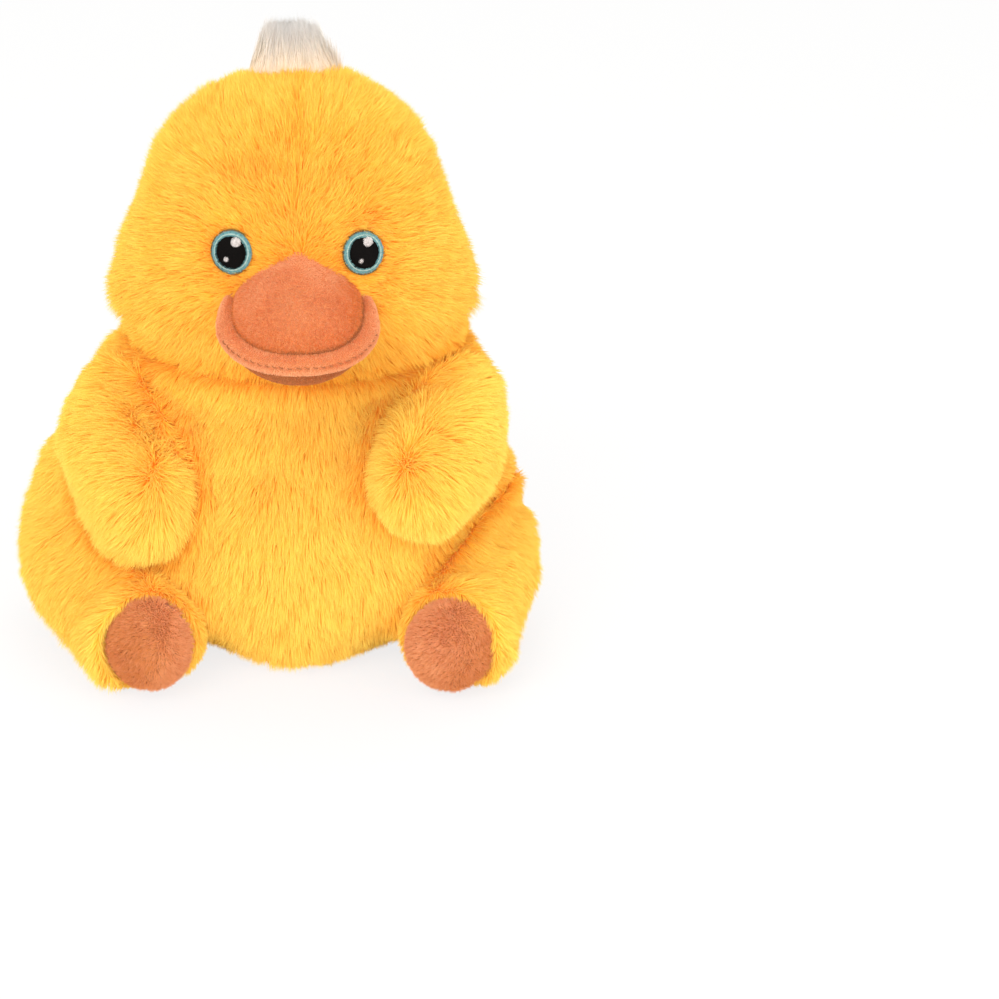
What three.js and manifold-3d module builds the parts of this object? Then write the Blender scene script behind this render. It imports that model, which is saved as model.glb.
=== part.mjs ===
// Sitting plush duck, about 275 mm tall with its tuft, in millimetres with +Z up. The duck faces -Y and its left side is +X.
// The origin lies on the floor, under the middle of the neck seam.
// Every soft part is a plush skin, open where it is sewn on, round its own polyester filling.
import * as THREE from "three";
import { mergeVertices } from "three/addons/utils/BufferGeometryUtils.js";
import Module from "manifold-3d";

const wasm = await Module();
wasm.setup();

// Fabric and clearances
const PLUSH_THICKNESS = 7; // knitted backing and standing pile together
const VELOUR_THICKNESS = 2.4; // short pile on the bill and the foot pads
const SEAM_GAP = 0.3; // between pieces that touch
const SIT_FLAT = 0.5; // how far a form that rests on the floor is pressed flat
const OVERRUN = 10; // how far a cutter runs past what it cuts

// Body: a pear that sits on a flat base
const BODY_HEIGHT = 136; // floor to neck seam
const BODY_HALF_WIDTH = 97;
const BODY_FRONT = 80; // origin to belly
const BODY_BACK = 73; // origin to back
const BODY_SHARES = [
  // height, half width, front, back
  [0, 0.44, 0.74, 0.62],
  [0.04, 0.64, 0.84, 0.76],
  [0.13, 0.86, 0.94, 0.9],
  [0.3, 1, 1, 1],
  [0.45, 1, 0.99, 1],
  [0.62, 0.96, 0.92, 0.98],
  [0.8, 0.91, 0.81, 0.94],
  [0.93, 0.85, 0.71, 0.88],
  [1.06, 0.77, 0.61, 0.82],
];

// Head: full cheeks low down, round crown
const HEAD_HEIGHT = 122; // neck seam to crown
const HEAD_HALF_WIDTH = 83;
const HEAD_FRONT = 67; // head's own middle to the face
const HEAD_BACK = 56; // head's own middle to the back of the head
const HEAD_FORWARD = 4; // head's middle ahead of the origin
const HEAD_SHARES = [
  [-0.06, 0.76, 0.68, 0.84],
  [0.02, 0.87, 0.78, 0.9],
  [0.1, 0.97, 0.88, 0.95],
  [0.2, 1, 0.96, 0.98],
  [0.35, 0.945, 1, 0.97],
  [0.5, 0.875, 0.98, 0.93],
  [0.64, 0.8, 0.9, 0.87],
  [0.77, 0.695, 0.78, 0.77],
  [0.88, 0.55, 0.61, 0.65],
  [0.955, 0.375, 0.41, 0.45],
  [0.988, 0.22, 0.23, 0.26],
  [1, 0, 0, 0],
];

// Legs: short, bowed round the belly, with a sole at the front
const HIP_FROM_SIDE = 29; // limbs' middles are placed in from the body's widest side
const HIP_OUT = BODY_HALF_WIDTH - HIP_FROM_SIDE;
const HIP_BACK = 6;
const HIP_TALL = 42; // half the thigh's height
const HIP_THICK = 38; // half its thickness across
const KNEE_FROM_SIDE = 22;
const KNEE_OUT = BODY_HALF_WIDTH - KNEE_FROM_SIDE;
const KNEE_FORWARD = 30;
const KNEE_TALL = 38;
const KNEE_THICK = 33;
const RIGHT_KNEE_OUT = 16; // how much further out the right knee rests
const RIGHT_HIP_MORE = 8; // how much fuller the right thigh is stuffed
const ANKLE_FROM_SIDE = 26;
const ANKLE_OUT = BODY_HALF_WIDTH - ANKLE_FROM_SIDE;
const ANKLE_FORWARD = 68;
const ANKLE_TALL = 27;
const ANKLE_THICK = 25;
const FOOT_FROM_SIDE = 31;
const FOOT_OUT = BODY_HALF_WIDTH - FOOT_FROM_SIDE;
const FOOT_FORWARD = 92;
const FOOT_TALL = 26;
const FOOT_THICK = 27;
const HIP_TAIL = 24; // how far the thigh's round end reaches behind the hip
const LEG_SPREAD = 20; // degrees that a leg swings out
const FOOT_ROUND = 8; // how far from its end the shin starts to round off
const LEG_HINGE_FROM_SIDE = 13; // upright hinge line at the back of the hip seam
const LEG_HINGE_OUT = BODY_HALF_WIDTH - LEG_HINGE_FROM_SIDE;
const LEG_HINGE_BACK = 28;

// Foot pads
const PAD_HALF_WIDTH = 20;
const PAD_HALF_HEIGHT = 22;
const PAD_DOME = 6; // how far the sole swells out
const PAD_ROOT = 7; // how deep its rim is sewn in

// Wings: flat paddles from the shoulders to the lap
const SHOULDER_FROM_SIDE = 31;
const SHOULDER_OUT = BODY_HALF_WIDTH - SHOULDER_FROM_SIDE;
const SHOULDER_FORWARD = 0;
const SHOULDER_BELOW_NECK = 21;
const SHOULDER_UP = BODY_HEIGHT - SHOULDER_BELOW_NECK;
const SHOULDER_WIDE = 28;
const SHOULDER_THICK = 25;
const ELBOW_FROM_SIDE = 25;
const ELBOW_OUT = BODY_HALF_WIDTH - ELBOW_FROM_SIDE;
const ELBOW_FORWARD = 42;
const ELBOW_BELOW_NECK = 42;
const ELBOW_UP = BODY_HEIGHT - ELBOW_BELOW_NECK;
const ELBOW_WIDE = 31;
const ELBOW_THICK = 28;
const TIP_FROM_SIDE = 38;
const TIP_OUT = BODY_HALF_WIDTH - TIP_FROM_SIDE;
const TIP_FORWARD = 84;
const TIP_BELOW_NECK = 68;
const TIP_UP = BODY_HEIGHT - TIP_BELOW_NECK;
const TIP_WIDE = 27;
const TIP_THICK = 22;
const LEFT_TIP_IN = 17; // how much nearer the middle the left wing's tip rests
const LEFT_TIP_UP = 23; // how much higher the left wing's tip rests
const LEFT_TIP_FORWARD = 14; // and how much further forward
const WING_HINGE_FROM_SIDE = 11; // hinge line at the back of the shoulder seam
const WING_HINGE_OUT = BODY_HALF_WIDTH - WING_HINGE_FROM_SIDE;
const WING_HINGE_FORWARD = 6;
const WING_HINGE_TILT = 30; // degrees that its top leans in and forward
const WING_OPEN = 45; // degrees that a wing opens out and up

// Head turn
const HEAD_TURN = 15; // degrees each way

// Bill
const BILL_PROUD = 1; // bill's own middle ahead of the face
const BILL_FORWARD = HEAD_FORWARD + HEAD_FRONT + BILL_PROUD;
const BILL_ABOVE_NECK = 35;
const BILL_UP = BODY_HEIGHT + BILL_ABOVE_NECK;
const BILL_SLOPE = 20; // degrees that it points down
const BILL_HALF_WIDTH = 30; // to the middle of the rim
const BILL_LENGTH = 30;
const RIM_RADIUS = 4.8;
const BILL_CROWN = 23; // dome above the rim's middle
const BILL_CHIN = 26; // lower bill below it
const CHIN_PROUD = 1.5; // how far the lower bill reaches outside the rim's middle
const BILL_LEAN_SHARE = 0.5; // how far the dome's top lies back, of the bill's length
const CHIN_LEAN_SHARE = 0.05; // the same for the chin
const BILL_BELL_SHARE = 1.7; // power of the width's fall towards the top: 1 is round, more is a bell
const BILL_SQUARE_SHARE = 0.85; // power of the outline: 1 is an ellipse, less is squarer
const RIM_FLAT_SHARE = 0.9; // rim's height, of its width
const RIM_SWEEP = 210; // degrees of the outline that the rim follows

// Eyes
const EYE_OUT = 28;
const EYE_ABOVE_NECK = 60;
const EYE_UP = BODY_HEIGHT + EYE_ABOVE_NECK;
const EYE_RADIUS = 9;
const EYE_SUNK = 2.6; // embroidery's face below the tips of the pile
const EYE_CLOTH = 2.2;
const PUPIL_RADIUS = 6.2;
const PUPIL_THICK = 1.2;
const GLINT_RADIUS = 2.5;
const GLINT_SMALL_RADIUS = 1.5;
const GLINT_THICK = 0.7;
const GLINT_PLACE_SHARES = [0.36, 0.5]; // of the pupil's radius, up and to the viewer's right
const GLINT_SMALL_PLACE_SHARES = [-0.42, -0.5];

// Tuft on the crown
const TUFT_BACK = 5;
const TUFT_HEIGHT = 17;
const TUFT_HALF_WIDTH = 23;
const TUFT_HALF_DEPTH = 12;
const TUFT_ROOT = 14; // how deep its form starts under the crown
const TUFT_SHARES = [
  [0, 1, 1, 1],
  [0.35, 0.96, 0.97, 0.97],
  [0.7, 0.74, 0.84, 0.84],
  [0.93, 0.58, 0.68, 0.68],
  [1, 0, 0, 0],
];

// Tail
const TAIL_UP = 34;
const TAIL_LENGTH = 34;
const TAIL_LIFT = 22;
const TAIL_HALF_WIDTH = 21;
const TAIL_HALF_HEIGHT = 14;
const TAIL_SHARES = [
  // place along it, width and height
  [0, 1],
  [0.5, 1],
  [0.8, 0.8],
  [1, 0.6],
];

// Pellet pouch in the seat
const POUCH_HALF_WIDTH = 44;
const POUCH_HALF_DEPTH = 36;
const POUCH_THICK = 22;

// Facets
const BODY_SIDES = 28;
const BODY_RINGS = 14;
const LIMB_SIDES = 20;
const LIMB_RINGS = 10;
const FILL_SIDES = 16;
const FILL_RINGS = 7;
const DISC_SIDES = 16;
const BILL_SIDES = 20;
const BILL_RINGS = 5;
const RIM_SIDES = 8;
const RIM_RINGS = 16;
const MERGE_DISTANCE = 1e-4; // points nearer than this are one
const SWEEP_STEPS = 6; // places tried along a joint's travel
const FACE_STEP_SHARE = 1e-6; // how closely a height is found on the face
const UP = new THREE.Vector3(0, 0, 1);

const plush = new THREE.MeshStandardMaterial({ name: "plush", color: 0xf9bd33, roughness: 0.95, metalness: 0 });
const velour = new THREE.MeshStandardMaterial({ name: "velour", color: 0xe8814f, roughness: 0.8, metalness: 0 });
const tuftPile = new THREE.MeshStandardMaterial({ name: "tuft_pile", color: 0xefe6d8, roughness: 0.95, metalness: 0 });
const filling = new THREE.MeshStandardMaterial({ name: "filling", color: 0xf4f2ec, roughness: 1, metalness: 0 });
const ringThread = new THREE.MeshStandardMaterial({ name: "ring_thread", color: 0x67aeb4, roughness: 0.5, metalness: 0 });
const pupilThread = new THREE.MeshStandardMaterial({ name: "pupil_thread", color: 0x18120f, roughness: 0.5, metalness: 0 });
const glintThread = new THREE.MeshStandardMaterial({ name: "glint_thread", color: 0xe9e2dd, roughness: 0.5, metalness: 0 });
const pouchCloth = new THREE.MeshStandardMaterial({ name: "pouch_cloth", color: 0xe9e9e4, roughness: 0.9, metalness: 0 });

const duck = new THREE.Group();
duck.name = "plush_duck";

// A closed three.js geometry as a solid that can be joined and cut.
function solid(geometry) {
  const bare = geometry.clone();
  for (const name of Object.keys(bare.attributes)) {
    if (name !== "position") bare.deleteAttribute(name);
  }
  const merged = mergeVertices(bare, MERGE_DISTANCE);
  return new wasm.Manifold(
    new wasm.Mesh({
      numProp: 3,
      vertProperties: new Float32Array(merged.attributes.position.array),
      triVerts: new Uint32Array(merged.index.array),
    }),
  );
}

function addPart(name, shape, material) {
  const cut = shape.getMesh();
  const geometry = new THREE.BufferGeometry();
  geometry.setAttribute("position", new THREE.BufferAttribute(new Float32Array(cut.vertProperties), 3));
  geometry.setIndex(new THREE.BufferAttribute(new Uint32Array(cut.triVerts), 1));
  geometry.computeVertexNormals();
  const mesh = new THREE.Mesh(geometry, material);
  mesh.name = name;
  duck.add(mesh);
  return mesh;
}

// One column of a table, read smoothly at a place from 0, its first row, to 1, its last.
function readShares(rows, column, place) {
  const at = place * (rows.length - 1);
  const i = Math.min(Math.floor(at), rows.length - 2);
  const t = at - i;
  const value = (k) => rows[THREE.MathUtils.clamp(k, 0, rows.length - 1)][column];
  const [a, b, c, d] = [value(i - 1), value(i), value(i + 1), value(i + 2)];
  const bend = 2 * a - 5 * b + 4 * c - d;
  const twist = -a + 3 * b - 3 * c + d;
  return 0.5 * (2 * b + (c - a) * t + bend * t * t + twist * t * t * t);
}

// Rings of points, from first to last, closed by a flat cap or a pole at each end.
function loftRings(rings) {
  const sides = rings[0].length;
  const points = rings.flat();
  const index = [];
  for (let r = 0; r < rings.length - 1; r++) {
    for (let s = 0; s < sides; s++) {
      const [a, b] = [r * sides + s, r * sides + ((s + 1) % sides)];
      const [c, d] = [a + sides, b + sides];
      index.push(a, b, d, a, d, c);
    }
  }
  const middle = (ring) => ring.reduce((sum, p) => sum.add(p), new THREE.Vector3()).divideScalar(sides);
  const last = (rings.length - 1) * sides;
  const first = points.push(middle(rings[0])) - 1;
  const final = points.push(middle(rings[rings.length - 1])) - 1;
  for (let s = 0; s < sides; s++) {
    const next = (s + 1) % sides;
    index.push(first, next, s, final, last + s, last + next);
  }
  const geometry = new THREE.BufferGeometry().setFromPoints(points);
  geometry.setIndex(index);
  // A ring drawn to a point leaves triangles with two corners in one place.
  const merged = mergeVertices(geometry, MERGE_DISTANCE);
  const kept = [];
  const corners = merged.index.array;
  for (let i = 0; i < corners.length; i += 3) {
    const [a, b, c] = [corners[i], corners[i + 1], corners[i + 2]];
    if (a !== b && b !== c && a !== c) kept.push(a, b, c);
  }
  merged.setIndex(kept);
  return merged;
}

// Upright stuffed form: oval sections with their own half width, front and back, drawn in by inset all round.
function stackForm(size, shares, inset, sides, ringCount) {
  const rings = [];
  const bottom = shares[0][0] * size.height;
  const tall = shares[shares.length - 1][0] * size.height - bottom;
  const lift = size.openBottom ? 0 : inset;
  const squeeze = (tall - lift - (size.openTop ? 0 : inset)) / tall;
  const shrink = (length) => Math.max(length - inset, 0);
  for (let r = 0; r <= ringCount; r++) {
    const section = sectionAt(size, shares, r / ringCount);
    const ring = [];
    for (let s = 0; s < sides; s++) {
      const angle = (2 * Math.PI * s) / sides;
      const depth = Math.sin(angle) < 0 ? shrink(section.front) : shrink(section.back);
      ring.push(
        new THREE.Vector3(
          shrink(section.halfWidth) * Math.cos(angle),
          depth * Math.sin(angle) - size.forward,
          size.base + bottom + lift + (section.height - bottom) * squeeze,
        ),
      );
    }
    rings.push(ring);
  }
  return solid(loftRings(rings));
}

// The oval section of a stuffed form at a place from 0, its bottom, to 1, its top.
function sectionAt(size, shares, place) {
  const [height, halfWidth, front, back] = [0, 1, 2, 3].map((column) => readShares(shares, column, place));
  return {
    height: height * size.height,
    halfWidth: halfWidth * size.halfWidth,
    front: front * size.front,
    back: back * size.back,
  };
}

const bodySize = {
  base: -SIT_FLAT,
  height: BODY_HEIGHT + SIT_FLAT,
  halfWidth: BODY_HALF_WIDTH,
  front: BODY_FRONT,
  back: BODY_BACK,
  forward: 0,
  openTop: true,
};
const headSize = {
  base: BODY_HEIGHT,
  height: HEAD_HEIGHT,
  halfWidth: HEAD_HALF_WIDTH,
  front: HEAD_FRONT,
  back: HEAD_BACK,
  forward: HEAD_FORWARD,
  openBottom: true,
};
const bodyForm = (inset, sides = BODY_SIDES, rings = BODY_RINGS) =>
  stackForm(bodySize, BODY_SHARES, inset, sides, rings);
const headForm = (inset, sides = BODY_SIDES, rings = BODY_RINGS) =>
  stackForm(headSize, HEAD_SHARES, inset, sides, rings);

// The point on the front of the head's pile at a place across and up.
function onFace(x, z) {
  let [low, high] = [0, 1];
  while (high - low > FACE_STEP_SHARE) {
    const middle = (low + high) / 2;
    if (headSize.base + sectionAt(headSize, HEAD_SHARES, middle).height < z) low = middle;
    else high = middle;
  }
  const section = sectionAt(headSize, HEAD_SHARES, (low + high) / 2);
  const across = Math.min(Math.abs(x) / section.halfWidth, 1);
  return new THREE.Vector3(x, -headSize.forward - section.front * Math.sqrt(1 - across ** 2), z);
}

// Everything between two heights.
const REACH = 2 * (BODY_HALF_WIDTH + BODY_HEIGHT + HEAD_HEIGHT);
function slab(low, high) {
  return solid(new THREE.BoxGeometry(REACH, REACH, high - low).translate(0, 0, (low + high) / 2));
}
const belowFloor = slab(-REACH, 0);
const aboveNeck = slab(BODY_HEIGHT, REACH);
const belowNeck = slab(-REACH, BODY_HEIGHT + SEAM_GAP);
const belowNeckRoom = slab(-REACH, BODY_HEIGHT);

// Limb: oval sections along a bent spine of stations, each with its place and its two half sizes.
function limbForm(stations, inset, sides, ringCount) {
  const spine = new THREE.CatmullRomCurve3(stations.map((station) => station.at));
  const rows = stations.map((station) => [station.tall, station.thick]);
  const [startRound, endRound] = [stations[0].round, stations[stations.length - 1].round];
  const length = spine.getLength();
  const shape = (distance, radius) => Math.sqrt(Math.max(1 - Math.max(1 - distance / radius, 0) ** 2, 0));
  const rings = [];
  for (let r = 0; r <= ringCount; r++) {
    const place = (1 - Math.cos((Math.PI * r) / ringCount)) / 2;
    const drawn = inset / length + place * (1 - (2 * inset) / length);
    const inside = THREE.MathUtils.clamp(drawn, 0, 1);
    const forward = spine.getTangentAt(inside);
    const along = spine.getPointAt(inside).addScaledVector(forward, (drawn - inside) * length);
    const side = UP.clone().cross(forward).normalize();
    const up = forward.clone().cross(side).normalize();
    const span = length - 2 * inset;
    const swell = shape(place * span, startRound - inset) * shape((1 - place) * span, endRound - inset);
    const [tall, thick] = [0, 1].map((column) => Math.max(readShares(rows, column, place) - inset, 0) * swell);
    const ring = [];
    for (let s = 0; s < sides; s++) {
      const angle = (2 * Math.PI * s) / sides;
      ring.push(
        along
          .clone()
          .addScaledVector(side, thick * Math.cos(angle))
          .addScaledVector(up, tall * Math.sin(angle)),
      );
    }
    rings.push(ring);
  }
  return solid(loftRings(rings));
}

// A solid joined with its copies turned about a hinge line, for the room that it needs as it moves.
function swept(shape, hinge, fromDegrees, toDegrees) {
  const copies = [];
  for (let k = 0; k <= SWEEP_STEPS; k++) {
    const angle = THREE.MathUtils.degToRad(fromDegrees + ((toDegrees - fromDegrees) * k) / SWEEP_STEPS);
    const turn = new THREE.Matrix4()
      .makeTranslation(hinge.at)
      .multiply(new THREE.Matrix4().makeRotationAxis(hinge.axis, angle))
      .multiply(new THREE.Matrix4().makeTranslation(hinge.at.clone().negate()));
    copies.push(shape.transform(turn.elements));
  }
  return wasm.Manifold.union(copies);
}

// A disc lying on the face, its front this far below the tips of the pile.
function faceDisc(x, z, sunk, radius, thickness, offset) {
  const [left, right] = [onFace(x - EYE_RADIUS, z), onFace(x + EYE_RADIUS, z)];
  const [low, high] = [onFace(x, z - EYE_RADIUS), onFace(x, z + EYE_RADIUS)];
  const across = right.sub(left).normalize();
  const outward = across.clone().cross(high.sub(low)).normalize();
  const upward = outward.clone().cross(across);
  const disc = new THREE.CylinderGeometry(radius, radius, thickness, DISC_SIDES);
  disc.applyMatrix4(new THREE.Matrix4().makeBasis(across, outward, across.clone().cross(outward)));
  const middle = onFace(x, z)
    .addScaledVector(outward, -sunk - thickness / 2)
    .addScaledVector(across, offset.x)
    .addScaledVector(upward, offset.y);
  return solid(disc.translate(middle.x, middle.y, middle.z));
}

// Torso
const torsoFloorless = (shape) => shape.subtract(belowFloor).subtract(aboveNeck);
const torsoSkin = torsoFloorless(bodyForm(0)).subtract(bodyForm(PLUSH_THICKNESS, FILL_SIDES, FILL_RINGS));
const pouchFloor = PLUSH_THICKNESS + SEAM_GAP - SIT_FLAT;
function pouchForm(outset) {
  const profile = [];
  for (let k = 0; k <= FILL_RINGS; k++) {
    const angle = (Math.PI / 2) * (k / FILL_RINGS);
    profile.push(new THREE.Vector2((1 + outset / POUCH_HALF_WIDTH) * Math.cos(angle), Math.sin(angle)));
  }
  profile[FILL_RINGS].x = 0;
  const lens = new THREE.LatheGeometry([new THREE.Vector2(0, 0), ...profile], FILL_SIDES);
  lens.rotateX(Math.PI / 2).scale(POUCH_HALF_WIDTH, POUCH_HALF_DEPTH, POUCH_THICK + outset);
  return solid(lens.translate(0, 0, pouchFloor));
}
const torsoHollow = torsoFloorless(bodyForm(PLUSH_THICKNESS + SEAM_GAP, FILL_SIDES, FILL_RINGS));
addPart("torso_skin", torsoSkin, plush);
addPart("torso_filling", torsoHollow.subtract(pouchForm(SEAM_GAP)), filling);
addPart("pellet_pouch", pouchForm(0).intersect(torsoHollow), pouchCloth);
const bodyRoom = bodyForm(-SEAM_GAP);

// Tail: a short plush stub, turned up
const tailStations = (() => {
  const lift = THREE.MathUtils.degToRad(TAIL_LIFT);
  const out = new THREE.Vector3(0, Math.cos(lift), Math.sin(lift));
  const root = new THREE.Vector3(0, BODY_BACK - TAIL_LENGTH / 2, TAIL_UP);
  return TAIL_SHARES.map(([place, size]) => ({
    at: root.clone().addScaledVector(out, place * (TAIL_LENGTH + TAIL_LENGTH / 2)),
    tall: size * TAIL_HALF_HEIGHT,
    thick: size * TAIL_HALF_WIDTH,
    round: TAIL_HALF_HEIGHT,
  }));
})();
const tailForm = (inset, sides, rings) => limbForm(tailStations, inset, sides, rings);
addPart(
  "tail_skin",
  tailForm(0, LIMB_SIDES, LIMB_RINGS).subtract(tailForm(PLUSH_THICKNESS, FILL_SIDES, FILL_RINGS)).subtract(bodyRoom),
  plush,
);
addPart(
  "tail_filling",
  tailForm(PLUSH_THICKNESS + SEAM_GAP, FILL_SIDES, FILL_RINGS).subtract(bodyRoom),
  filling,
);

// Head
const headOuter = headForm(0).subtract(belowNeck);
let headSkin = headOuter.subtract(headForm(PLUSH_THICKNESS, FILL_SIDES, FILL_RINGS));
const headRoom = headForm(-SEAM_GAP);

// Bill: a dome and a shallow chin on one outline, with a padded rim round it
const slope = THREE.MathUtils.degToRad(BILL_SLOPE);
const billFrame = new THREE.Matrix4()
  .makeTranslation(0, -BILL_FORWARD, BILL_UP)
  .multiply(new THREE.Matrix4().makeRotationX(slope));
const bend = (value) => Math.sign(value) * Math.abs(value) ** BILL_SQUARE_SHARE;
// One point of the bill's outline, at an angle from its left corner round its tip, grown or drawn in by grow.
const outline = (angle, grow) =>
  new THREE.Vector3(
    (BILL_HALF_WIDTH + grow) * bend(Math.cos(angle)),
    -(BILL_LENGTH + grow) * bend(Math.sin(angle)),
    0,
  );
function billForm(inset, height, lean, grow = 0) {
  const rings = [];
  const crown = Math.abs(height) - inset;
  for (let r = 0; r <= BILL_RINGS; r++) {
    const rise = (Math.PI / 2) * (r / BILL_RINGS);
    const ring = [];
    for (let s = 0; s < BILL_SIDES; s++) {
      const point = outline((2 * Math.PI * s) / BILL_SIDES, grow - inset);
      point.x *= Math.cos(rise) ** BILL_BELL_SHARE;
      point.y = point.y * Math.cos(rise) + lean * BILL_LENGTH * (1 - Math.cos(rise));
      if (r === BILL_RINGS) point.set(0, lean * BILL_LENGTH, 0);
      point.z = Math.sign(height) * crown * Math.sin(rise);
      ring.push(point.applyMatrix4(billFrame));
    }
    rings.push(height > 0 ? ring.reverse() : ring);
  }
  return solid(loftRings(rings));
}
function rimForm(outset) {
  const rings = [];
  const half = THREE.MathUtils.degToRad(RIM_SWEEP) / 2;
  for (let r = 0; r <= RIM_RINGS; r++) {
    const angle = Math.PI / 2 - half + (2 * half * r) / RIM_RINGS;
    const at = outline(angle, 0);
    const outward = outline(angle, RIM_RADIUS).sub(at).normalize();
    const ring = [];
    for (let s = 0; s < RIM_SIDES; s++) {
      const turn = (2 * Math.PI * s) / RIM_SIDES;
      const point = at.clone().addScaledVector(outward, (RIM_RADIUS + outset) * Math.cos(turn));
      point.z += (RIM_RADIUS + outset) * RIM_FLAT_SHARE * Math.sin(turn);
      ring.push(point.applyMatrix4(billFrame));
    }
    rings.push(ring);
  }
  return solid(loftRings(rings));
}
const rimRoom = rimForm(SEAM_GAP);
const upperBill = (inset) => billForm(inset, BILL_CROWN, BILL_LEAN_SHARE);
const lowerBill = (inset) => billForm(inset, -BILL_CHIN, CHIN_LEAN_SHARE, CHIN_PROUD);
const insideBill = (inset) => upperBill(inset).add(lowerBill(inset));
const billCore = insideBill(VELOUR_THICKNESS);
addPart("bill_rim", rimForm(0).subtract(headRoom), velour);
addPart("bill_upper", upperBill(0).subtract(billCore).subtract(rimRoom).subtract(headRoom), velour);
addPart("bill_lower", lowerBill(0).subtract(billCore).subtract(rimRoom).subtract(headRoom), velour);
addPart("bill_filling", insideBill(CHIN_PROUD + RIM_RADIUS + SEAM_GAP).subtract(headRoom), filling);

// Eyes: each embroidered disc lies in its own hollow of the pile
for (const [side, sign] of [["left", 1], ["right", -1]]) {
  const disc = (sunk, radius, thickness, place = [0, 0]) =>
    faceDisc(sign * EYE_OUT, EYE_UP, sunk, radius, thickness, new THREE.Vector2(...place).multiplyScalar(PUPIL_RADIUS));
  const well = (depth, radius, place) => disc(-OVERRUN, radius + SEAM_GAP, OVERRUN + EYE_SUNK + depth + SEAM_GAP, place);
  const glints = [
    ["large", GLINT_RADIUS, GLINT_PLACE_SHARES],
    ["small", GLINT_SMALL_RADIUS, GLINT_SMALL_PLACE_SHARES],
  ];
  headSkin = headSkin.subtract(well(EYE_CLOTH, EYE_RADIUS));
  let pupil = disc(EYE_SUNK, PUPIL_RADIUS, PUPIL_THICK);
  for (const [size, radius, place] of glints) {
    addPart(`glint_${size}_${side}`, disc(EYE_SUNK, radius, GLINT_THICK, place), glintThread);
    pupil = pupil.subtract(well(GLINT_THICK, radius, place));
  }
  addPart(`pupil_${side}`, pupil, pupilThread);
  addPart(`iris_${side}`, disc(EYE_SUNK, EYE_RADIUS, EYE_CLOTH).subtract(well(PUPIL_THICK, PUPIL_RADIUS)), ringThread);
}
addPart("head_skin", headSkin, plush);
addPart(
  "head_filling",
  headForm(PLUSH_THICKNESS + SEAM_GAP, FILL_SIDES, FILL_RINGS).subtract(belowNeck),
  filling,
);

// Crown tuft
const tuftSize = {
  base: BODY_HEIGHT + HEAD_HEIGHT - TUFT_ROOT,
  height: TUFT_ROOT + TUFT_HEIGHT,
  halfWidth: TUFT_HALF_WIDTH,
  front: TUFT_HALF_DEPTH,
  back: TUFT_HALF_DEPTH,
  forward: -TUFT_BACK,
};
addPart(
  "crown_tuft",
  stackForm(tuftSize, TUFT_SHARES, 0, FILL_SIDES, FILL_RINGS).subtract(headRoom),
  tuftPile,
);

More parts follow.
